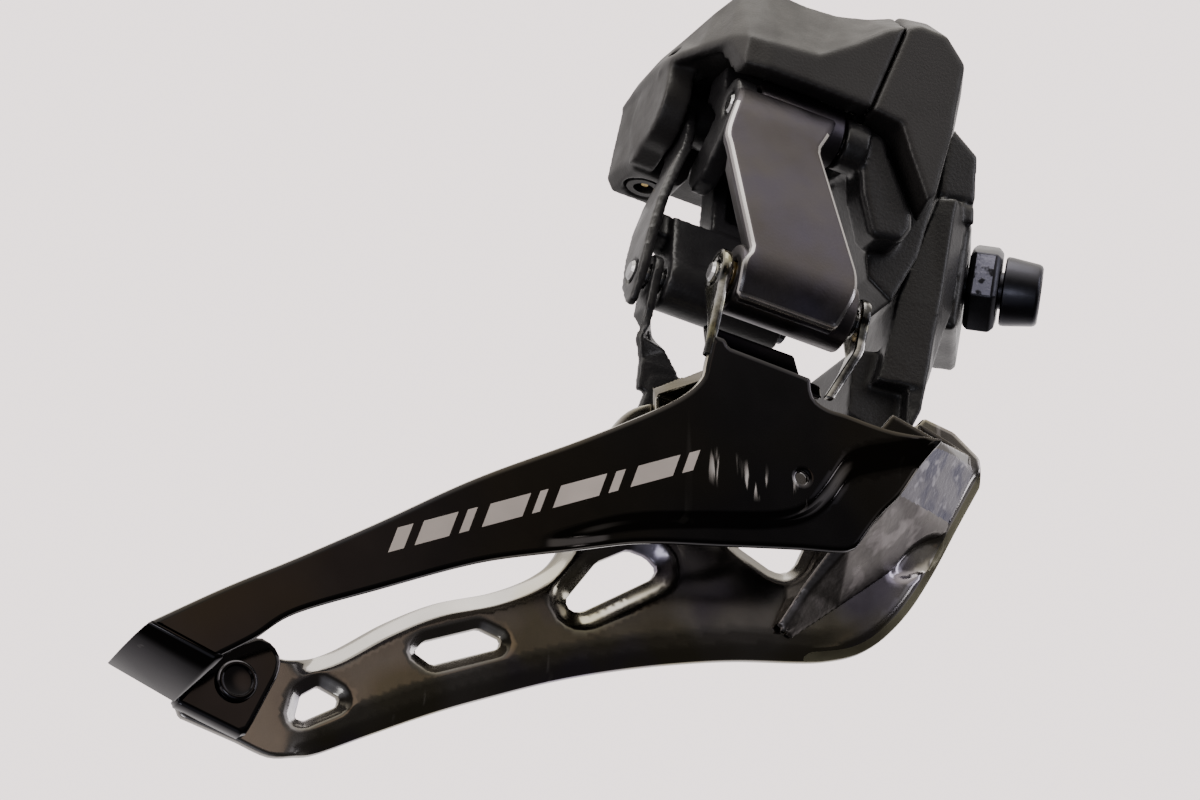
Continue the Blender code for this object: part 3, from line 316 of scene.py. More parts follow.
def polygon(points, corner=0.6, step=0.7):
    """A closed outline with straight sides and rounded corners."""
    return closed_outline([[points[i], points[(i + 1) % len(points)]] for i in range(len(points))],
                          corner, step)


def inside(points, loop):
    """Which of the points (n, 2) lie inside a closed loop (m, 2)."""
    found = np.zeros(len(points), bool)
    x, y = points[:, 0], points[:, 1]
    for (x0, y0), (x1, y1) in zip(loop, np.roll(loop, 1, axis=0)):
        with np.errstate(divide="ignore", invalid="ignore"):
            crossing = ((y0 > y) != (y1 > y)) & (x < (x1 - x0) * (y - y0) / (y1 - y0) + x0)
        found ^= crossing
    return found


def distance(points, line, closed=False):
    """Distance of each point (n, 2) to a line of points (m, 2)."""
    line = np.asarray([tuple(p)[:2] for p in line], float)
    ends = np.roll(line, -1, axis=0) if closed else line[1:]
    starts = line if closed else line[:-1]
    best = np.full(len(points), 1e9)
    for a, b in zip(starts, ends):
        d = b - a
        t = np.clip(((points - a) @ d) / max(d @ d, 1e-12), 0, 1)
        best = np.minimum(best, np.hypot(*(points - a - t[:, None] * d).T))
    return best


def step_up(value):
    """0 to 1 with soft ends."""
    t = np.clip(value, 0, 1)
    return t * t * (3 - 2 * t)


def plate_mesh(name, outline, holes, depth, place, thickness=PLATE, edge=0.26, pitch=0.75, lines=()):
    """A pressed plate with rounded rims. outline and holes are loops in the plate's plane; depth(points)
    moves the metal along its normal, and place(u, v, w) puts a point of the plate in space."""
    loops = [outline] + list(holes)
    flat = [np.array([tuple(p)[:2] for p in loop], float) for loop in loops]
    rims = []
    for number, loop in enumerate(flat):
        ahead = np.roll(loop, -1, axis=0) - np.roll(loop, 1, axis=0)
        ahead /= np.maximum(np.hypot(*ahead.T), 1e-9)[:, None]
        normal = np.stack([ahead[:, 1], -ahead[:, 0]], 1)
        area = np.sum(loop[:, 0] * np.roll(loop[:, 1], -1) - loop[:, 1] * np.roll(loop[:, 0], -1))
        outward = normal if area > 0 else -normal
        rims.append(outward if number == 0 else -outward)
    inset = [loop - rim * edge for loop, rim in zip(flat, rims)]
    low, high = inset[0].min(0), inset[0].max(0)
    rows = np.arange(low[1], high[1], pitch * 0.87)
    grid = np.array([(x + (pitch / 2 if k % 2 else 0), y) for k, y in enumerate(rows)
                     for x in np.arange(low[0], high[0], pitch)])
    keep = inside(grid, inset[0])
    for loop in inset[1:]:
        keep &= ~inside(grid, loop)
    grid = grid[keep]
    for loop in inset:
        grid = grid[distance(grid, loop, True) > pitch * 0.5]
    lines = list(lines) + [np.vstack([loop, loop[:1]]) - np.vstack([rim, rim[:1]]) * 0.3
                           for loop, rim in zip(inset, rims)]
    runs = []
    for line in lines:
        course = np.array([tuple(p)[:2] for p in line], float)
        good = inside(course, inset[0])
        for loop in inset[1:]:
            good &= ~inside(course, loop)
        for loop in inset:
            good &= distance(course, loop, True) > 0.22
        run = []
        for spot, fine in zip(course, good):
            if fine:
                run.append(spot)
            elif run:
                runs.append(run)
                run = []
        if run:
            runs.append(run)
    lines = [run for run in runs if len(run) > 1]
    for line in lines:
        grid = grid[distance(grid, line) > pitch * 0.45]
    points = [Vector(p) for loop in inset for p in loop]
    edges, base = [], 0
    for loop in inset:
        edges += [(base + i, base + (i + 1) % len(loop)) for i in range(len(loop))]
        base += len(loop)
    for line in lines:
        edges += [(base + i, base + i + 1) for i in range(len(line) - 1)]
        points += [Vector(tuple(p)[:2]) for p in line]
        base += len(line)
    points += [Vector(p) for p in grid]
    cdt = delaunay_2d_cdt(points, edges, [], 0, 1e-6)
    flat_points = np.array([tuple(p) for p in cdt[0]])
    triangles = [tuple(t) for t in cdt[2]]
    centres = np.array([flat_points[list(t)].mean(0) for t in triangles])
    wanted = inside(centres, inset[0])
    for loop in inset[1:]:
        wanted &= ~inside(centres, loop)
    triangles = [t for t, w in zip(triangles, wanted) if w]
    count = len(flat_points)
    depths = depth(flat_points)
    vertices = [place(u, v, d) for (u, v), d in zip(flat_points, depths)]
    vertices += [place(u, v, d + thickness) for (u, v), d in zip(flat_points, depths)]
    faces = list(triangles) + [tuple(count + i for i in reversed(t)) for t in triangles]
    turned = {}
    for new, olds in enumerate(cdt[3]):
        for old in olds:
            turned.setdefault(old, new)
    base = 0
    profile = [(0.0, 0.0), (0.7, 0.3), (1.0, 1.0)]
    for loop, rim in zip(inset, rims):
        ids = [turned[base + i] for i in range(len(loop))]
        base += len(loop)
        rings = [ids]
        for out, down in profile[1:] + [(out, -down) for out, down in reversed(profile[1:])]:
            ring = []
            for (u, v), (nu, nv), i in zip(loop, rim, ids):
                w = depths[i] + (edge * down if down > 0 else thickness + edge * down)
                vertices.append(place(u + nu * edge * out, v + nv * edge * out, w))
                ring.append(len(vertices) - 1)
            rings.append(ring)
        rings.append([count + i for i in ids])
        for a, b in zip(rings, rings[1:]):
            for i in range(len(a)):
                j = (i + 1) % len(a)
                faces.append((a[i], a[j], b[j], b[i]))
    used = sorted({i for f in faces for i in f})
    renumber = {old: new for new, old in enumerate(used)}
    return mesh_from([vertices[i] for i in used], [tuple(renumber[i] for i in f) for f in faces], name)


def grown(loop, reach):
    """A closed loop moved outwards by reach."""
    flat = np.array([tuple(p)[:2] for p in loop], float)
    ahead = np.roll(flat, -1, axis=0) - np.roll(flat, 1, axis=0)
    ahead /= np.maximum(np.hypot(*ahead.T), 1e-9)[:, None]
    area = np.sum(flat[:, 0] * np.roll(flat[:, 1], -1) - flat[:, 1] * np.roll(flat[:, 0], -1))
    outward = np.stack([ahead[:, 1], -ahead[:, 0]], 1) * (1 if area > 0 else -1)
    made = flat + outward * reach
    return [Vector(p) for p in made] + [Vector(made[0])]


def beside(line, reach):
    """An open line moved sideways by reach, to its left."""
    flat = np.array([tuple(p)[:2] for p in line], float)
    ahead = np.gradient(flat, axis=0)
    ahead /= np.maximum(np.hypot(*ahead.T), 1e-9)[:, None]
    return [Vector(p) for p in flat + np.stack([-ahead[:, 1], ahead[:, 0]], 1) * reach]


def rounded(mesh, width, segments=3, angle=30):
    """The mesh with its sharp edges rounded."""
    scratch = bpy.data.objects.new("scratch", mesh)
    bpy.context.scene.collection.objects.link(scratch)
    modifier = scratch.modifiers.new("round", "BEVEL")
    modifier.width = width * MM
    modifier.segments = segments
    modifier.limit_method = "ANGLE"
    modifier.angle_limit = math.radians(angle)
    finished = bpy.data.meshes.new_from_object(scratch.evaluated_get(bpy.context.evaluated_depsgraph_get()))
    bpy.data.objects.remove(scratch)
    return finished


def lathe(name, profile, centre, axis, count=40):
    """A turned piece: profile is (radius, height) along the axis from centre, in millimetres."""
    axis = Vector(axis).normalized()
    side = axis.orthogonal().normalized()
    other = axis.cross(side)
    rings = []
    for radius, height in profile:
        radius = max(radius, 0.01)
        rings.append([Vector(centre) + axis * height
                      + (side * math.cos(2 * math.pi * i / count)
                         + other * math.sin(2 * math.pi * i / count)) * radius
                      for i in range(count)])
    return loft(name, rings)


def tube_mesh(name, inner, outer, start, end, centre, axis, count=40, lip=0.3):
    """A barrel with rounded rims and a through bore."""
    profile = [(inner, start + lip), (inner + lip * 0.3, start + lip * 0.3), (inner + lip, start),
               (outer - lip, start), (outer - lip * 0.3, start + lip * 0.3), (outer, start + lip),
               (outer, end - lip), (outer - lip * 0.3, end - lip * 0.3), (outer - lip, end),
               (inner + lip, end), (inner + lip * 0.3, end - lip * 0.3), (inner, end - lip)]
    axis = Vector(axis).normalized()
    side = axis.orthogonal().normalized()
    other = axis.cross(side)
    rings = []
    for i in range(count):
        turn = side * math.cos(2 * math.pi * i / count) + other * math.sin(2 * math.pi * i / count)
        rings.append([Vector(centre) + axis * height + turn * radius for radius, height in profile])
    return loft(name, rings + [rings[0]], cap=False)


def casting(node, voxel=0.35, rounds=4, fillers=()):
    """A CAD node with its edges rounded as a casting has them; fillers are balls that thicken its walls."""
    mesh = NODES[node].data.copy()
    shape = bmesh.new()
    shape.from_mesh(mesh)
    bmesh.ops.remove_doubles(shape, verts=shape.verts, dist=1e-6)
    for centre, radius in fillers:
        bmesh.ops.create_icosphere(shape, subdivisions=2, radius=radius * MM,
                                   matrix=Matrix.Translation(Vector(centre) * MM))
    shape.to_mesh(mesh)
    shape.free()
    scratch = bpy.data.objects.new("scratch", mesh)
    bpy.context.scene.collection.objects.link(scratch)
    remesh = scratch.modifiers.new("remesh", "REMESH")
    remesh.mode = "VOXEL"
    remesh.voxel_size = voxel * MM
    relax = scratch.modifiers.new("relax", "SMOOTH")
    relax.factor = 0.5
    relax.iterations = rounds
    finished = bpy.data.meshes.new_from_object(scratch.evaluated_get(bpy.context.evaluated_depsgraph_get()))
    bpy.data.objects.remove(scratch)
    slot_name = SLOT_OF[node]
    finished.materials.clear()
    finished.materials.append(FINISH[slot_name])
    return new_piece(node + "_finish", finished, NODES[node]["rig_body"], slot_name, [node], sharp=180)


# ---------------------------------------------------------------- outer plate


def upright(face):
    """Places a plate that stands in the X-Z plane with its outboard side at y = face."""
    return lambda u, v, w: Vector((u, face + w, v))


SHOULDER = (-45.5, -21.6)
PRESS_UPPER = [(-26.3, -32.4), (-29.2, -33.9), (-32.1, -38.0), (-34.4, -40.6), (-38.4, -42.0),
               (-47.3, -43.0), (-56.0, -44.3), (-66.0, -47.7)]
PRESS_LOWER = [(-24.4, -35.2), (-28.2, -36.6), (-30.6, -39.6), (-33.8, -42.0), (-38.6, -43.3),
               (-47.3, -44.2), (-55.6, -45.5), (-66.0, -48.5)]
OUTER_RUNS = [[(-109.9, -62.1), (-101.9, -57.5), (-93.5, -53.1), (-84.6, -48.2), (-73.5, -41.9),
               (-60.6, -35.7), (-50.7, -30.4), (-47.1, -27.4), (-46.3, -25.0), SHOULDER],
              [SHOULDER, (-43.9, -22.0)],
              [(-43.9, -22.0), (-43.5, -22.9)],
              [(-43.5, -22.9), (-33.4, -25.4)],
              [(-33.4, -25.4), (-33.1, -27.6), (-31.5, -28.7), (-29.0, -29.2), (-23.5, -30.4),
               (-16.9, -30.7)],
              [(-16.9, -30.7), (-19.2, -33.8), (-21.8, -37.6), (-24.4, -40.3), (-26.9, -43.7)],
              [(-26.9, -43.7), (-28.6, -45.0), (-34.6, -45.3), (-43.4, -45.9), (-54.4, -46.8),
               (-63.8, -49.2), (-73.1, -51.5), (-84.4, -55.7), (-93.7, -59.4), (-98.1, -62.6),
               (-102.5, -65.3)],
              [(-102.5, -65.3), (-109.9, -62.1)]]
PRESS_DEPTH = 1.5


def outer_depth(points):
    """The lower band is pressed inboard behind an S-shaped wall, and fades out towards the tail."""
    upper = np.array(smooth_run(PRESS_UPPER, 0.6) + [Vector(PRESS_UPPER[-1])])
    lower = np.array(smooth_run(PRESS_LOWER, 0.6) + [Vector(PRESS_LOWER[-1])])
    below = np.array([(-14.0, -33.0), (-14.0, -70.0), (-66.0, -70.0)])
    start_upper, start_lower = np.array([(-20.0, -30.9)]), np.array([(-19.0, -33.6)])
    full_upper = np.vstack([start_upper, upper, below[::-1]])
    full_lower = np.vstack([start_lower, lower, below[::-1]])
    in_upper, in_lower = inside(points, full_upper), inside(points, full_lower)
    from_upper = distance(points, np.vstack([start_upper, upper]))
    from_lower = distance(points, np.vstack([start_lower, lower]))
    ratio = step_up(from_upper / np.maximum(from_upper + from_lower, 1e-6))
    made = np.where(in_lower, 1.0, np.where(in_upper, ratio, 0.0)) * PRESS_DEPTH
    fade = step_up((points[:, 0] + 66.0) / 9.0)
    return made * fade


outer_outline = closed_outline(OUTER_RUNS, 0.5)


def between(first, second, share):
    """A line part of the way from one line to another, both read at equal shares of their length."""
    made = []
    for k in range(80):
        spots = []
        for line in (first, second):
            place = k / 79 * (len(line) - 1)
            low = int(min(place, len(line) - 2))
            spots.append(Vector(line[low]).lerp(Vector(line[low + 1]), place - low))
        made.append(spots[0].lerp(spots[1], share))
    return made


def rim_wear_and_highlight(mesh, outline, finish, reach, wanted):
    """Gives the rim faces within reach of the outline, picked by their facing, a finish of their own: worn
    edge and painted highlight.
    """
    mesh.materials.append(FINISH[finish])
    loop = np.array([tuple(p)[:2] for p in outline], float)
    centres = np.array([(face.center.x / MM, face.center.z / MM) for face in mesh.polygons])
    near = distance(centres, loop, True) < reach
    for face, close in zip(mesh.polygons, near):
        if close and wanted(face.normal):
            face.material_index = 1


UPPER_WALL, LOWER_WALL = smooth_run(PRESS_UPPER, 0.6), smooth_run(PRESS_LOWER, 0.6)
press_lines = [between(UPPER_WALL, LOWER_WALL, share)
               for share in (-0.3, 0.0, 0.2, 0.4, 0.6, 0.8, 1.0, 1.3)]
outer_mesh = plate_mesh("outer_plate_finish", outer_outline, [circle((-34.7, -37.4), 0.75, 24)],
                        outer_depth, upright(OUTER_FACE), edge=0.36, pitch=0.6, lines=press_lines)
outer_mesh.materials.append(FINISH["black_chrome"])
# the outer plate's upward-facing rim faces take pale chrome: worn edges, and a painted highlight along the
# top edge
rim_wear_and_highlight(outer_mesh, outer_outline, "worn_edge_and_highlight", 0.34,
         lambda normal: -0.8 < normal.y < 0.25 and normal.z > 0.1)
new_piece("outer_plate_finish", outer_mesh, "cage", "black_chrome", ["outer_plate"])

# pale slanted bars printed on the plate
PRINT_START, PRINT_END = Vector((-83.6, -51.6)), Vector((-47.4, -37.9))
print_along = (PRINT_END - PRINT_START).normalized()
BARS = [(0.0, 1.9), (3.2, 7.4), (8.6, 9.8), (11.4, 16.4), (17.6, 18.6), (20.2, 26.0), (27.2, 28.4),
        (30.0, 35.4), (36.6, 38.0)]
for number, (begin, end) in enumerate(BARS):
    height = 3.1 - 0.012 * begin
    base = [PRINT_START + print_along * begin, PRINT_START + print_along * end]
    lean = Vector((0.34, 0.94)).normalized() * height
    ring = [base[0], base[1], base[1] + lean, base[0] + lean]
    rings = [[Vector((p.x, OUTER_FACE + w, p.y)) for p in ring] for w in (-0.03, 0.2)]
    bar = new_piece("printed_bar_%d" % (number + 1), loft("bar", rings), "cage", "black_chrome")
    bar.data.materials.clear()
    bar.data.materials.append(FINISH["pale_print"])

# ears that carry the lower pin of the outer link
LOWER_RISE = (LOWER - UPPER).dot(RISE)


def ear(name, start, slant):
    """A pressed ear across the pin; its stem slants back by slant towards the plate."""
    ring = [(LOWER.y + EAR_RADIUS * math.cos(math.radians(a)),
             LOWER_RISE + EAR_RADIUS * math.sin(math.radians(a))) for a in range(-20, 201, 10)]
    foot = OUTER_FACE
    outline = [ring, [ring[-1], (foot + 0.05, LOWER_RISE - 5.0), (foot + 0.02, LOWER_RISE - 11.4)],
               [(foot + 0.02, LOWER_RISE - 11.4), (foot + 1.1, LOWER_RISE - 11.4)],
               [(foot + 1.1, LOWER_RISE - 11.4), (foot + 1.5, LOWER_RISE - 7.6), ring[0]]]

    def place(u, v, w):
        bend = slant * max(0.0, min(1.0, (LOWER_RISE - 4.5 - v) / 7.0))
        return UPPER + AXIS * (start + w - bend) + LATERAL * (u - UPPER.y) + RISE * v

    mesh = plate_mesh(name, closed_outline(outline, 0.35, 0.5),
                      [circle((LOWER.y, LOWER_RISE), PIN_HOLE, 24)], lambda points: np.zeros(len(points)),
                      place, 1.15, 0.3, 0.6)
    new_piece(name, mesh, "cage", "black_chrome")
    mesh.materials.clear()
    mesh.materials.append(FINISH["bright_chrome"])


ear("rear_ear", -8.4, 0.0)
ear("front_ear", 9.25, 2.5)

# folded tail: a strip that runs inboard and back, and a tab beside the inner plate
TAIL = [((-109.9, -62.1), (-102.5, -65.3), 0.0), ((-110.3, -62.4), (-102.8, -65.7), 0.7),
        ((-110.9, -63.0), (-103.4, -66.5), 2.2), ((-111.3, -63.5), (-103.7, -67.1), 6.6),
        ((-111.5, -63.9), (-103.9, -67.5), 11.0)]
tail_rings = []
for (ax, az), (bx, bz), inboard in TAIL:
    y = OUTER_FACE + inboard
    tail_rings.append([Vector((ax, y, az)), Vector((bx, y, bz)), Vector((bx + 1.2, y, bz + 0.45)),
                       Vector((ax + 1.2, y, az + 0.45))])
new_piece("tail_strip", rounded(loft("tail_strip", tail_rings), 0.28), "cage", "black_chrome")
TAB = [(-103.9, -67.5), (-102.4, -63.8), (-98.9, -61.2), (-94.6, -59.2), (-92.9, -60.0), (-92.0, -61.6),
       (-92.3, -63.3), (-95.2, -69.3), (-96.0, -70.6)]
TAB_FACE = -17.4
TAIL_HOLE = (-97.1, -64.6)
tab_mesh = plate_mesh("tail_tab", polygon(TAB, 0.9), [circle(TAIL_HOLE, 1.3, 20)],
                      lambda points: np.zeros(len(points)), upright(TAB_FACE), 2.4, 0.35, 0.8)
new_piece("tail_tab", tab_mesh, "cage", "black_chrome")
rivet_top = TAB_FACE - 0.3
rivet_profile = [(1.2, 3.0), (1.2, 0.0), (2.3, 0.0), (2.3, -0.25), (2.15, -0.45), (1.95, -0.55),
                 (1.75, -0.5), (1.62, -0.22), (1.5, -0.2), (0.0, -0.2)]
new_piece("tail_rivet_finish",
          lathe("tail_rivet", rivet_profile, (TAIL_HOLE[0], rivet_top, TAIL_HOLE[1]), (0, 1, 0)),
          "cage", "black_chrome", ["tail_rivet"], 50)

# ---------------------------------------------------------------- inner plate
INNER_RUNS = [[(-103.3, -66.0), (-101.5, -62.8), (-97.5, -60.6), (-94.2, -59.3)],
              [(-94.2, -59.3), (-91.5, -60.6), (-88.7, -60.4), (-85.1, -58.9), (-79.3, -55.2),
               (-73.4, -52.3), (-66.7, -50.3), (-61.8, -47.9), (-58.9, -45.0), (-57.0, -40.0),
               (-54.6, -33.5), (-51.0, -27.6), (-46.0, -25.4), (-40.0, -24.6), (-30.0, -26.6),
               (-20.0, -26.4), (-13.8, -24.4)],
              [(-13.8, -24.4), (-12.9, -23.4)],
              [(-12.9, -23.4), (-9.1, -24.7)],
              [(-9.1, -24.7), (-5.8, -27.6)],
              [(-5.8, -27.6), (-5.4, -30.8)],
              [(-5.4, -30.8), (-8.6, -36.4), (-11.7, -42.0), (-14.8, -46.8), (-17.8, -50.2),
               (-20.6, -52.4), (-23.6, -53.7), (-28.0, -54.5), (-36.9, -55.2), (-44.3, -56.3),
               (-51.6, -57.8), (-58.8, -59.7), (-65.9, -62.1), (-73.2, -64.8), (-80.6, -68.0),
               (-86.4, -70.6), (-89.2, -71.4), (-92.3, -71.7), (-95.9, -70.4)],
              [(-95.9, -70.4), (-102.4, -68.2)],
              [(-102.4, -68.2), (-103.3, -66.0)]]
WINDOWS = [polygon([(-89.4, -67.1), (-88.8, -64.5), (-86.8, -63.2), (-84.4, -64.3), (-84.6, -65.3),
                    (-88.4, -67.3)], 0.5, 0.5),
           polygon([(-75.9, -58.3), (-74.8, -57.0), (-68.3, -54.8), (-65.6, -55.8), (-65.9, -56.9),
                    (-73.8, -59.6)], 0.6, 0.5),
           polygon([(-57.8, -50.3), (-57.1, -51.5), (-55.7, -51.4), (-47.2, -46.6), (-46.5, -45.3),
                    (-47.8, -44.0), (-50.1, -43.4), (-54.0, -45.4)], 0.8, 0.5),
           polygon([(-41.2, -37.5), (-36.8, -41.8), (-32.5, -44.3), (-31.0, -44.4), (-29.6, -43.4),
                    (-28.2, -40.5), (-28.6, -36.5), (-33.5, -34.2)], 1.0, 0.6)]
ROLL_DEPTH = 1.1
inner_outline = closed_outline(INNER_RUNS, 0.5)
TOP_EDGE = smooth_run(INNER_RUNS[1][2:10], 0.8)
BOTTOM_EDGE = smooth_run(INNER_RUNS[6][5:17], 0.8)
FRONT_EDGE = smooth_run([(-5.4, -30.8), (-8.6, -36.4), (-11.7, -42.0), (-14.8, -46.8), (-17.8, -50.2),
                         (-20.6, -52.4), (-23.6, -53.7), (-28.0, -54.5)], 0.8)
DISHES = list(zip(WINDOWS, (1.6, 1.3, 2.6, 1.6), (0.45, 0.3, 0.95, 0.5)))

DIMPLE = (-13.9, -40.6)
DIMPLE_LENGTH, DIMPLE_WIDTH = 4.4, 1.7                  # half sizes; it lies along a 3-4-5 slope


def lens_reach(x, z):
    """Distance from the middle of the lens-shaped dimple near the nose, 1 at its rim."""
    dx, dz = x - DIMPLE[0], z - DIMPLE[1]
    along, across = dx * 0.8 + dz * 0.6, dz * 0.8 - dx * 0.6
    return np.hypot(along / DIMPLE_LENGTH, across / DIMPLE_WIDTH)


def inner_depth(points):
    """Both long edges roll inboard, the lower one after a worn band; each window sits in a shallow dish."""
    x = points[:, 0]
    top = ROLL_DEPTH * step_up(1 - distance(points, TOP_EDGE) / 2.0)
    from_bottom = distance(points, BOTTOM_EDGE)
    bottom = (0.3 * np.clip((3.4 - from_bottom) / 1.9, 0, 1)
              + (ROLL_DEPTH - 0.3) * step_up(1 - from_bottom / 1.5))
    ends = step_up((x + 90.5) / 4.0) * step_up((-22.0 - x) / 5.0)
    made = np.maximum(top, bottom) * ends
    for window, reach, fall in DISHES:
        made = np.maximum(made, fall * step_up(1 - distance(points, window, True) / reach))
    dimple = np.clip((1.15 - lens_reach(x, points[:, 1])) / 0.4, 0, 1)
    front = distance(points, FRONT_EDGE)
    corner = 0.8 * step_up(1 - front / 1.9)
    return np.maximum(made, np.maximum(corner, 0.6 * dimple))


inner_lines = [grown(window, reach * k / 4) for window, reach, _ in DISHES for k in (2, 3, 4)]
inner_lines += [beside(TOP_EDGE, -reach) for reach in (1.0, 1.35, 1.7, 2.0)]
inner_lines += [beside(BOTTOM_EDGE, -reach) for reach in (0.9, 1.2, 1.5, 2.4, 3.4)]
inner_lines += [beside(FRONT_EDGE, -reach) for reach in (1.0, 1.4, 1.9)]
inner_mesh = plate_mesh("inner_plate_finish", inner_outline, WINDOWS + [circle(TAIL_HOLE, PIN_HOLE, 20)],
                        inner_depth, upright(INNER_FACE), pitch=0.6, lines=inner_lines)
inner_mesh.materials.append(FINISH["dark_chrome"])
inner_mesh.materials.append(FINISH["olive_reflection_edge"])
# faces near the front edge that face outboard take the olive finish: a painted reflection
front_band = np.array([tuple(p)[:2] for p in FRONT_EDGE])
middles = np.array([(face.center.x / MM, face.center.z / MM) for face in inner_mesh.polygons])
for face, reach in zip(inner_mesh.polygons, distance(middles, front_band)):
    if reach < 1.0 and face.normal.y < -0.2:
        face.material_index = 1
new_piece("inner_plate_finish", inner_mesh, "cage", "dark_chrome", ["inner_plate"])

# ---------------------------------------------------------------- outer link
ALONG = (LOWER - UPPER).normalized()
OUTWARD = ALONG.cross(AXIS)


def on_link(s, a, n):
    """A point of the outer link: s along the pivots, a down the link, n outboard of its pivots."""
    return UPPER + AXIS * s + ALONG * a + OUTWARD * n


LINK_FACE = [[(-8.3, 0.5), (4.5, 0.4)], [(4.5, 0.4), (3.6, 3.4), (2.0, 7.6)], [(2.0, 7.6), (7.5, 25.2)],
             [(7.5, 25.2), (7.5, 28.4), (6.2, 32.6)], [(6.2, 32.6), (-6.3, 32.6)],
             [(-6.3, 32.6), (-6.7, 29.2), (-5.9, 27.2)], [(-5.9, 27.2), (-9.6, 12.0)],
             [(-9.6, 12.0), (-10.0, 9.2), (-8.3, 0.5)]]
FACE_HEIGHT = 4.85
WRAP_START = 27.2


def link_crown(points):
    """The face rolls back at its top and wraps round the lower barrel."""
    a = points[:, 1]
    top = np.clip((6.0 - a) / 6.0, 0, 1) ** 1.8 * 1.3
    past = np.clip(a - WRAP_START, 0, 5.9)
    bottom = WRAP_RADIUS - np.sqrt(np.maximum(WRAP_RADIUS ** 2 - past ** 2, 0.01))
    return top + bottom


link_outline = closed_outline(LINK_FACE, 1.0, 0.5)
face_mesh = plate_mesh("outer_link_face", link_outline, [], link_crown,
                       lambda u, v, w: on_link(u, v, FACE_HEIGHT - w), 1.5, 0.5, 0.7)
face_mesh.materials.append(FINISH["satin_link"])
face_mesh.materials.append(FINISH["polished_edge"])
rim = np.array([tuple(p)[:2] for p in link_outline], float)
for face in face_mesh.polygons:
    offset = face.center / MM - UPPER
    spot = np.array([[offset.dot(AXIS), offset.dot(ALONG)]])
    if distance(spot, rim, True)[0] < 0.5 and face.normal.dot(OUTWARD) > 0.1 and spot[0][1] > 4.0:
        face.material_index = 1
new_piece("outer_link_face", face_mesh, "outer_arm", "satin_link", ["outer_link"])
WEB = [(-5.1, 0.25), (3.0, 0.25), (2.2, 4.0), (0.8, 8.0), (6.0, 25.0), (6.05, 28.6), (-5.3, 28.6),
       (-5.0, 26.0), (-8.4, 12.4), (-8.2, 8.4), (-5.1, 5.6)]
web_mesh = loft("outer_link_web", [[on_link(s, a, n) for s, a in WEB] for n in (0.8, 3.7)])
new_piece("outer_link_web", rounded(web_mesh, 0.4, 3), "outer_arm", "satin_link")
for name, centre, radius, start, end in (("outer_link_upper_barrel", UPPER, 3.4, -5.27, 5.8),
                                         ("outer_link_lower_barrel", LOWER, 4.1, -6.6, 8.2)):
    barrel = tube_mesh(name, BARREL_BORE, radius, start, end, centre, AXIS)
    new_piece(name, barrel, "outer_arm", "satin_link", sharp=50)

# web between the ears, behind the lower barrel
EAR_WEB = [[(-7.4, -11.2), (-7.4, -5.4)], [(-7.4, -5.4), (4.0, -5.4)], [(4.0, -5.4), (4.4, -9.0)],
           [(4.4, -9.0), (6.9, -9.2)], [(6.9, -9.2), (6.9, -11.2)], [(6.9, -11.2), (-7.4, -11.2)]]


def on_ear_web(u, v, w):
    return UPPER + AXIS * u + LATERAL * (OUTER_FACE + 1.3 + w - UPPER.y) + RISE * (LOWER_RISE + v)


def ear_web_lean(points):
    return np.clip((points[:, 1] + 11.2) / 5.8, 0, 1) * 4.2


web_plate = plate_mesh("ear_web", closed_outline(EAR_WEB, 0.6, 0.8), [], ear_web_lean, on_ear_web, 0.9)
new_piece("ear_web", web_plate, "cage", "black_chrome")

# ---------------------------------------------------------------- castings and mouldings
# places where the housing's wall is thin behind its rear corners
HOUSING_MIDDLE = Vector((-28.0, 2.0, 18.0))
THIN_SPOTS = [(-39.1, 11.6, 21.1), (-38.5, 11.9, 21.3), (-37.9, 12.1, 21.5), (-38.5, -5.7, 20.2),
              (-40.9, -5.0, 22.3), (-41.9, -3.5, 20.9), (-41.7, -2.8, 21.1), (-41.6, -2.1, 21.3),
              (-41.5, -1.2, 21.5), (-40.8, 8.2, 22.8)]
THICKENED = [(Vector(spot) + (HOUSING_MIDDLE - Vector(spot)).normalized() * 0.65, 0.85)
             for spot in THIN_SPOTS]
for across in (10.1, 10.7, 11.3):
    for step in range(12):
        THICKENED.append((UPPER + AXIS * -10.05 + RISE * (2.4 + 0.5 * step)
                          + Vector((0, across - UPPER.y, 0)), 0.86))
for node, voxel, rounds in (("base_bracket", 0.3, 4), ("motor_housing", 0.26, 13),
                            ("motor_end_cover", 0.3, 6), ("inner_link", 0.32, 4), ("guide_arm", 0.25, 3),
                            ("nose_bridge", 0.2, 3), ("roof_bridge", 0.2, 3)):
    casting(node, voxel, rounds, THICKENED if node == "motor_housing" else ())

# the nose bridge: frosted under a crease, brighter above it, notched round the dimple of the inner plate
CREASE_REACH, CREASE_DEPTH = 0.8, 0.3
NOTCH_DEPTH = 1.9
CREASE = (Vector((-21.1, -26.7, -37.1)), Vector((-9.6, -15.0, -36.2)))
nose_mesh = bpy.data.objects["nose_bridge_finish"].data
nose_mesh.materials.clear()
for name in ("frosted_chrome", "nose_chrome", "black_chrome"):
    nose_mesh.materials.append(FINISH[name])
crease_run = CREASE[1] - CREASE[0]
for vertex in nose_mesh.vertices:
    place = vertex.co / MM
    share = min(1.0, max(0.0, (place - CREASE[0]).dot(crease_run) / crease_run.length_squared))
    near = (place - CREASE[0] - crease_run * share).length
    if near < CREASE_REACH:
        vertex.co -= vertex.normal * CREASE_DEPTH * (1 - near / CREASE_REACH) * MM
    notch = min(1.0, max(0.0, (1.0 - lens_reach(place.x, place.z)) / 0.3))
    if place.y > -18.0 and notch > 0:
        vertex.co.y += NOTCH_DEPTH * notch * MM
nose_mesh.update()
for face in nose_mesh.polygons:
    place = face.center / MM
    share = (place - CREASE[0]).dot(crease_run) / crease_run.length_squared
    if place.z > (CREASE[0] + crease_run * share).z:
        face.material_index = 2 if place.z > -30.6 + 0.19 * (place.x + 16.0) else 1
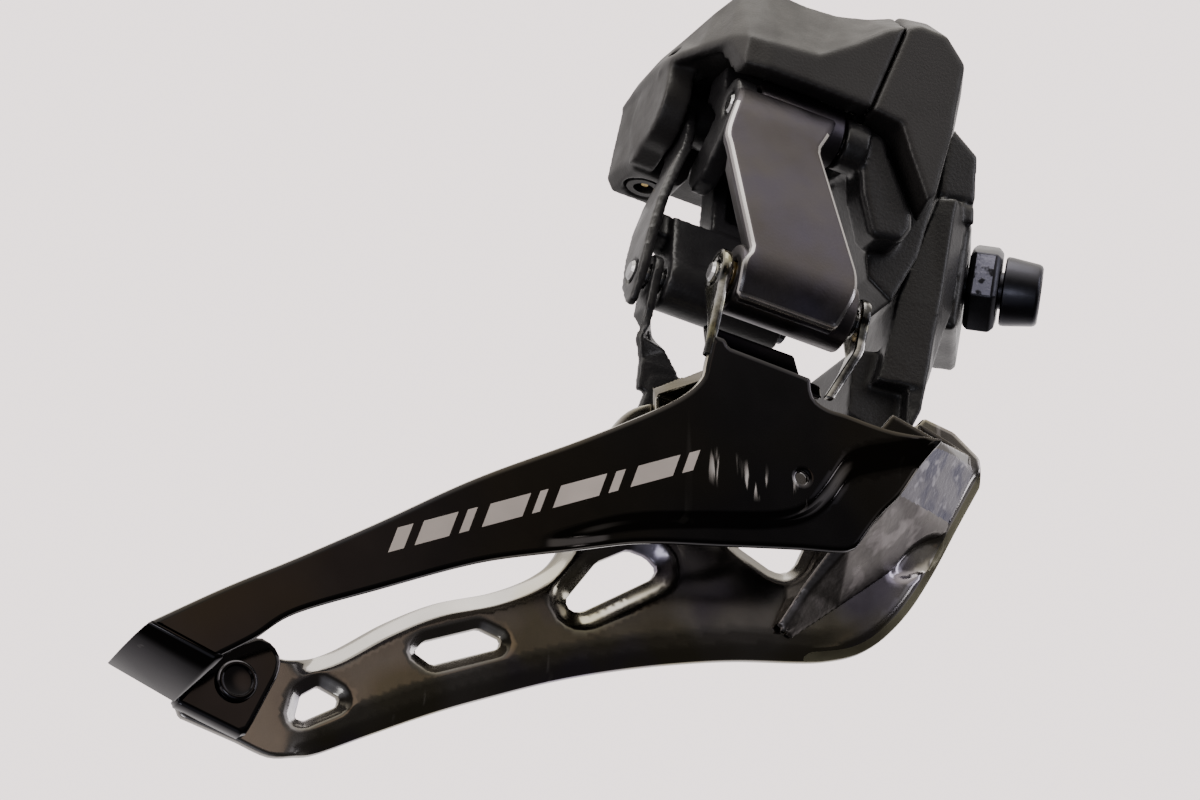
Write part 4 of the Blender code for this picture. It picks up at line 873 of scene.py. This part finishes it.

# clamp hardware: a hexagonal washer with one frosted facet, painted pale lavender for the reflection it
# shows, a conical bolt head with a socket
BOLT = Vector((0.8931, -0.4165, -0.1702))                # 25 degrees outboard, 9.8 down
BOLT_SIDE = Vector((0.4226, 0.9063, 0.0))
BOLT_UP = BOLT.cross(BOLT_SIDE)


def on_bolt(angle, radius, height):
    return BOLT * height + (BOLT_SIDE * math.sin(angle) + BOLT_UP * math.cos(angle)) * radius


washer_rings = []
for height, radius in ((0.32, 5.1), (0.9, 5.7), (3.6, 5.7), (4.25, 5.0)):
    washer_rings.append([on_bolt(math.pi / 3 * i, radius, height) for i in range(6)])
hole_rings = [[on_bolt(math.pi / 3 * i, 2.7, height) for i in range(6)] for height in (4.25, 0.32)]
washer_mesh = rounded(loft("washer", washer_rings + hole_rings + [washer_rings[0]], cap=False), 0.22, 3, 20)
washer_mesh.materials.append(FINISH["black_steel"])
washer_mesh.materials.append(FINISH["frosted_facet_and_reflection"])
SMALLEST_FACET = 6e-6                                   # square metres
# the side facet facing outboard takes the pale lavender finish: a frosted facet with a painted reflection
for face in washer_mesh.polygons:
    side_facet = face.area > SMALLEST_FACET and abs(face.normal.dot(BOLT)) < 0.3
    if side_facet and face.center.length > 4.5 * MM and face.normal.y < -0.55 and abs(face.normal.z) < 0.75:
        face.material_index = 1
new_piece("clamp_washer_finish", washer_mesh, "bracket", "black_steel", ["clamp_washer"])
BOLT_PROFILE = [(0.0, -12.0), (1.8, -12.0), (2.3, -11.4), (2.3, 4.7), (4.1, 4.7), (4.3, 4.9), (4.3, 5.4),
                (3.9, 8.8), (3.75, 9.15), (3.45, 9.35), (2.6, 9.35), (2.4, 9.15), (2.3, 6.6), (0.0, 6.2)]
new_piece("clamp_bolt_finish", lathe("bolt", BOLT_PROFILE, (0, 0, 0), BOLT, 56), "bracket", "black_steel",
          ["clamp_bolt"], 40)

# ---------------------------------------------------------------- camera, light and stage
AZIMUTH, ELEVATION = math.radians(-21), math.radians(-19)
TARGET = Vector((-59.16, -28.0, -31.23)) * MM
CAMERA_DISTANCE = 0.480
BACK = Vector((math.sin(AZIMUTH) * math.cos(ELEVATION), -math.cos(AZIMUTH) * math.cos(ELEVATION),
               math.sin(ELEVATION)))
camera_data = bpy.data.cameras.new("camera")
camera_data.lens = 129.6
camera_data.sensor_width = 36
camera_data.clip_start = 0.01
camera = bpy.data.objects.new("camera", camera_data)
camera.location = TARGET + BACK * CAMERA_DISTANCE
camera.rotation_euler = BACK.to_track_quat("Z", "Y").to_euler()
bpy.context.scene.collection.objects.link(camera)
bpy.context.scene.camera = camera


def area_light(name, place, size, power, colour=(1, 1, 1), aim=(-0.045, -0.01, -0.02)):
    """A soft box aimed at the object."""
    data = bpy.data.lights.new(name, "AREA")
    data.shape = "RECTANGLE"
    data.size, data.size_y = size
    data.energy = power
    data.color = colour
    lamp = bpy.data.objects.new(name, data)
    lamp.location = place
    lamp.rotation_euler = (Vector(place) - Vector(aim)).to_track_quat("Z", "Y").to_euler()
    bpy.context.scene.collection.objects.link(lamp)
    return lamp


area_light("sky_box", (-0.1, -0.25, 1.3), (1.2, 1.0), 9.0, (1.0, 0.97, 0.95))
area_light("left_box", (-1.2, -0.7, 0.5), (0.7, 1.1), 7.0, (1.0, 0.95, 0.92))
area_light("front_low", (-0.5, -1.4, -0.6), (0.5, 0.3), 1.6, (0.9, 0.92, 1.0))
area_light("right_strip", (1.1, -0.8, 0.4), (0.25, 0.9), 3.0, (0.95, 0.93, 1.0))

world = bpy.data.worlds.new("studio")
bpy.context.scene.world = world
world.use_nodes = True
tree = world.node_tree
backdrop = tree.nodes["Background"]
backdrop.inputs["Color"].default_value = (1.0, 0.88, 0.87, 1)
backdrop.inputs["Strength"].default_value = 2.5
heading = tree.nodes.new("ShaderNodeTexCoord").outputs["Generated"]
# Soft patches of the room round the object: direction, inner and outer angle in degrees, colour, strength
ROOM = [((0.0, -0.1, 1.0), 20, 70, (1.0, 0.94, 0.84), 1.5),
        ((-1.0, -0.1, 0.1), 15, 60, (1.0, 0.93, 0.9), 0.9),
        ((0.9, 0.5, 0.1), 15, 60, (1.0, 0.95, 0.95), 0.9),
        ((0.19, -0.94, 0.27), 2, 9, (1.0, 0.74, 0.55), 0.42),
        ((0.62, -0.7, 0.36), 5, 16, (0.95, 0.92, 1.0), 0.8),
        ((0.37, -0.87, 0.32), 6, 24, (0.95, 0.9, 0.88), 0.06),
        ((-0.3, -0.8, -0.5), 10, 40, (0.7, 0.72, 0.85), 0.3),
        ((0.0, 1.0, 0.0), 30, 75, (1.0, 0.95, 0.94), 0.9)]
total = None
for direction, inner_angle, outer_angle, colour, strength in ROOM:
    toward = tree.nodes.new("ShaderNodeVectorMath")
    toward.operation = "DOT_PRODUCT"
    toward.inputs[1].default_value = Vector(direction).normalized()
    tree.links.new(heading, toward.inputs[0])
    fade = tree.nodes.new("ShaderNodeMapRange")
    fade.interpolation_type = "SMOOTHSTEP"
    fade.inputs["From Min"].default_value = math.cos(math.radians(outer_angle))
    fade.inputs["From Max"].default_value = math.cos(math.radians(inner_angle))
    fade.inputs["To Max"].default_value = strength
    tree.links.new(toward.outputs["Value"], fade.inputs["Value"])
    tinted = tree.nodes.new("ShaderNodeVectorMath")
    tinted.operation = "SCALE"
    tinted.inputs[0].default_value = colour
    tree.links.new(fade.outputs["Result"], tinted.inputs["Scale"])
    if total is None:
        total = tinted.outputs[0]
    else:
        joined = tree.nodes.new("ShaderNodeVectorMath")
        joined.operation = "ADD"
        tree.links.new(total, joined.inputs[0])
        tree.links.new(tinted.outputs[0], joined.inputs[1])
        total = joined.outputs[0]
floor_level = tree.nodes.new("ShaderNodeVectorMath")
floor_level.operation = "ADD"
floor_level.inputs[1].default_value = (0.035, 0.032, 0.03)
tree.links.new(total, floor_level.inputs[0])
around = tree.nodes.new("ShaderNodeBackground")
tree.links.new(floor_level.outputs[0], around.inputs["Color"])
seen = tree.nodes.new("ShaderNodeLightPath")
choose = tree.nodes.new("ShaderNodeMixShader")
tree.links.new(seen.outputs["Is Camera Ray"], choose.inputs[0])
tree.links.new(around.outputs[0], choose.inputs[1])
tree.links.new(backdrop.outputs[0], choose.inputs[2])
tree.links.new(choose.outputs[0], tree.nodes["World Output"].inputs["Surface"])
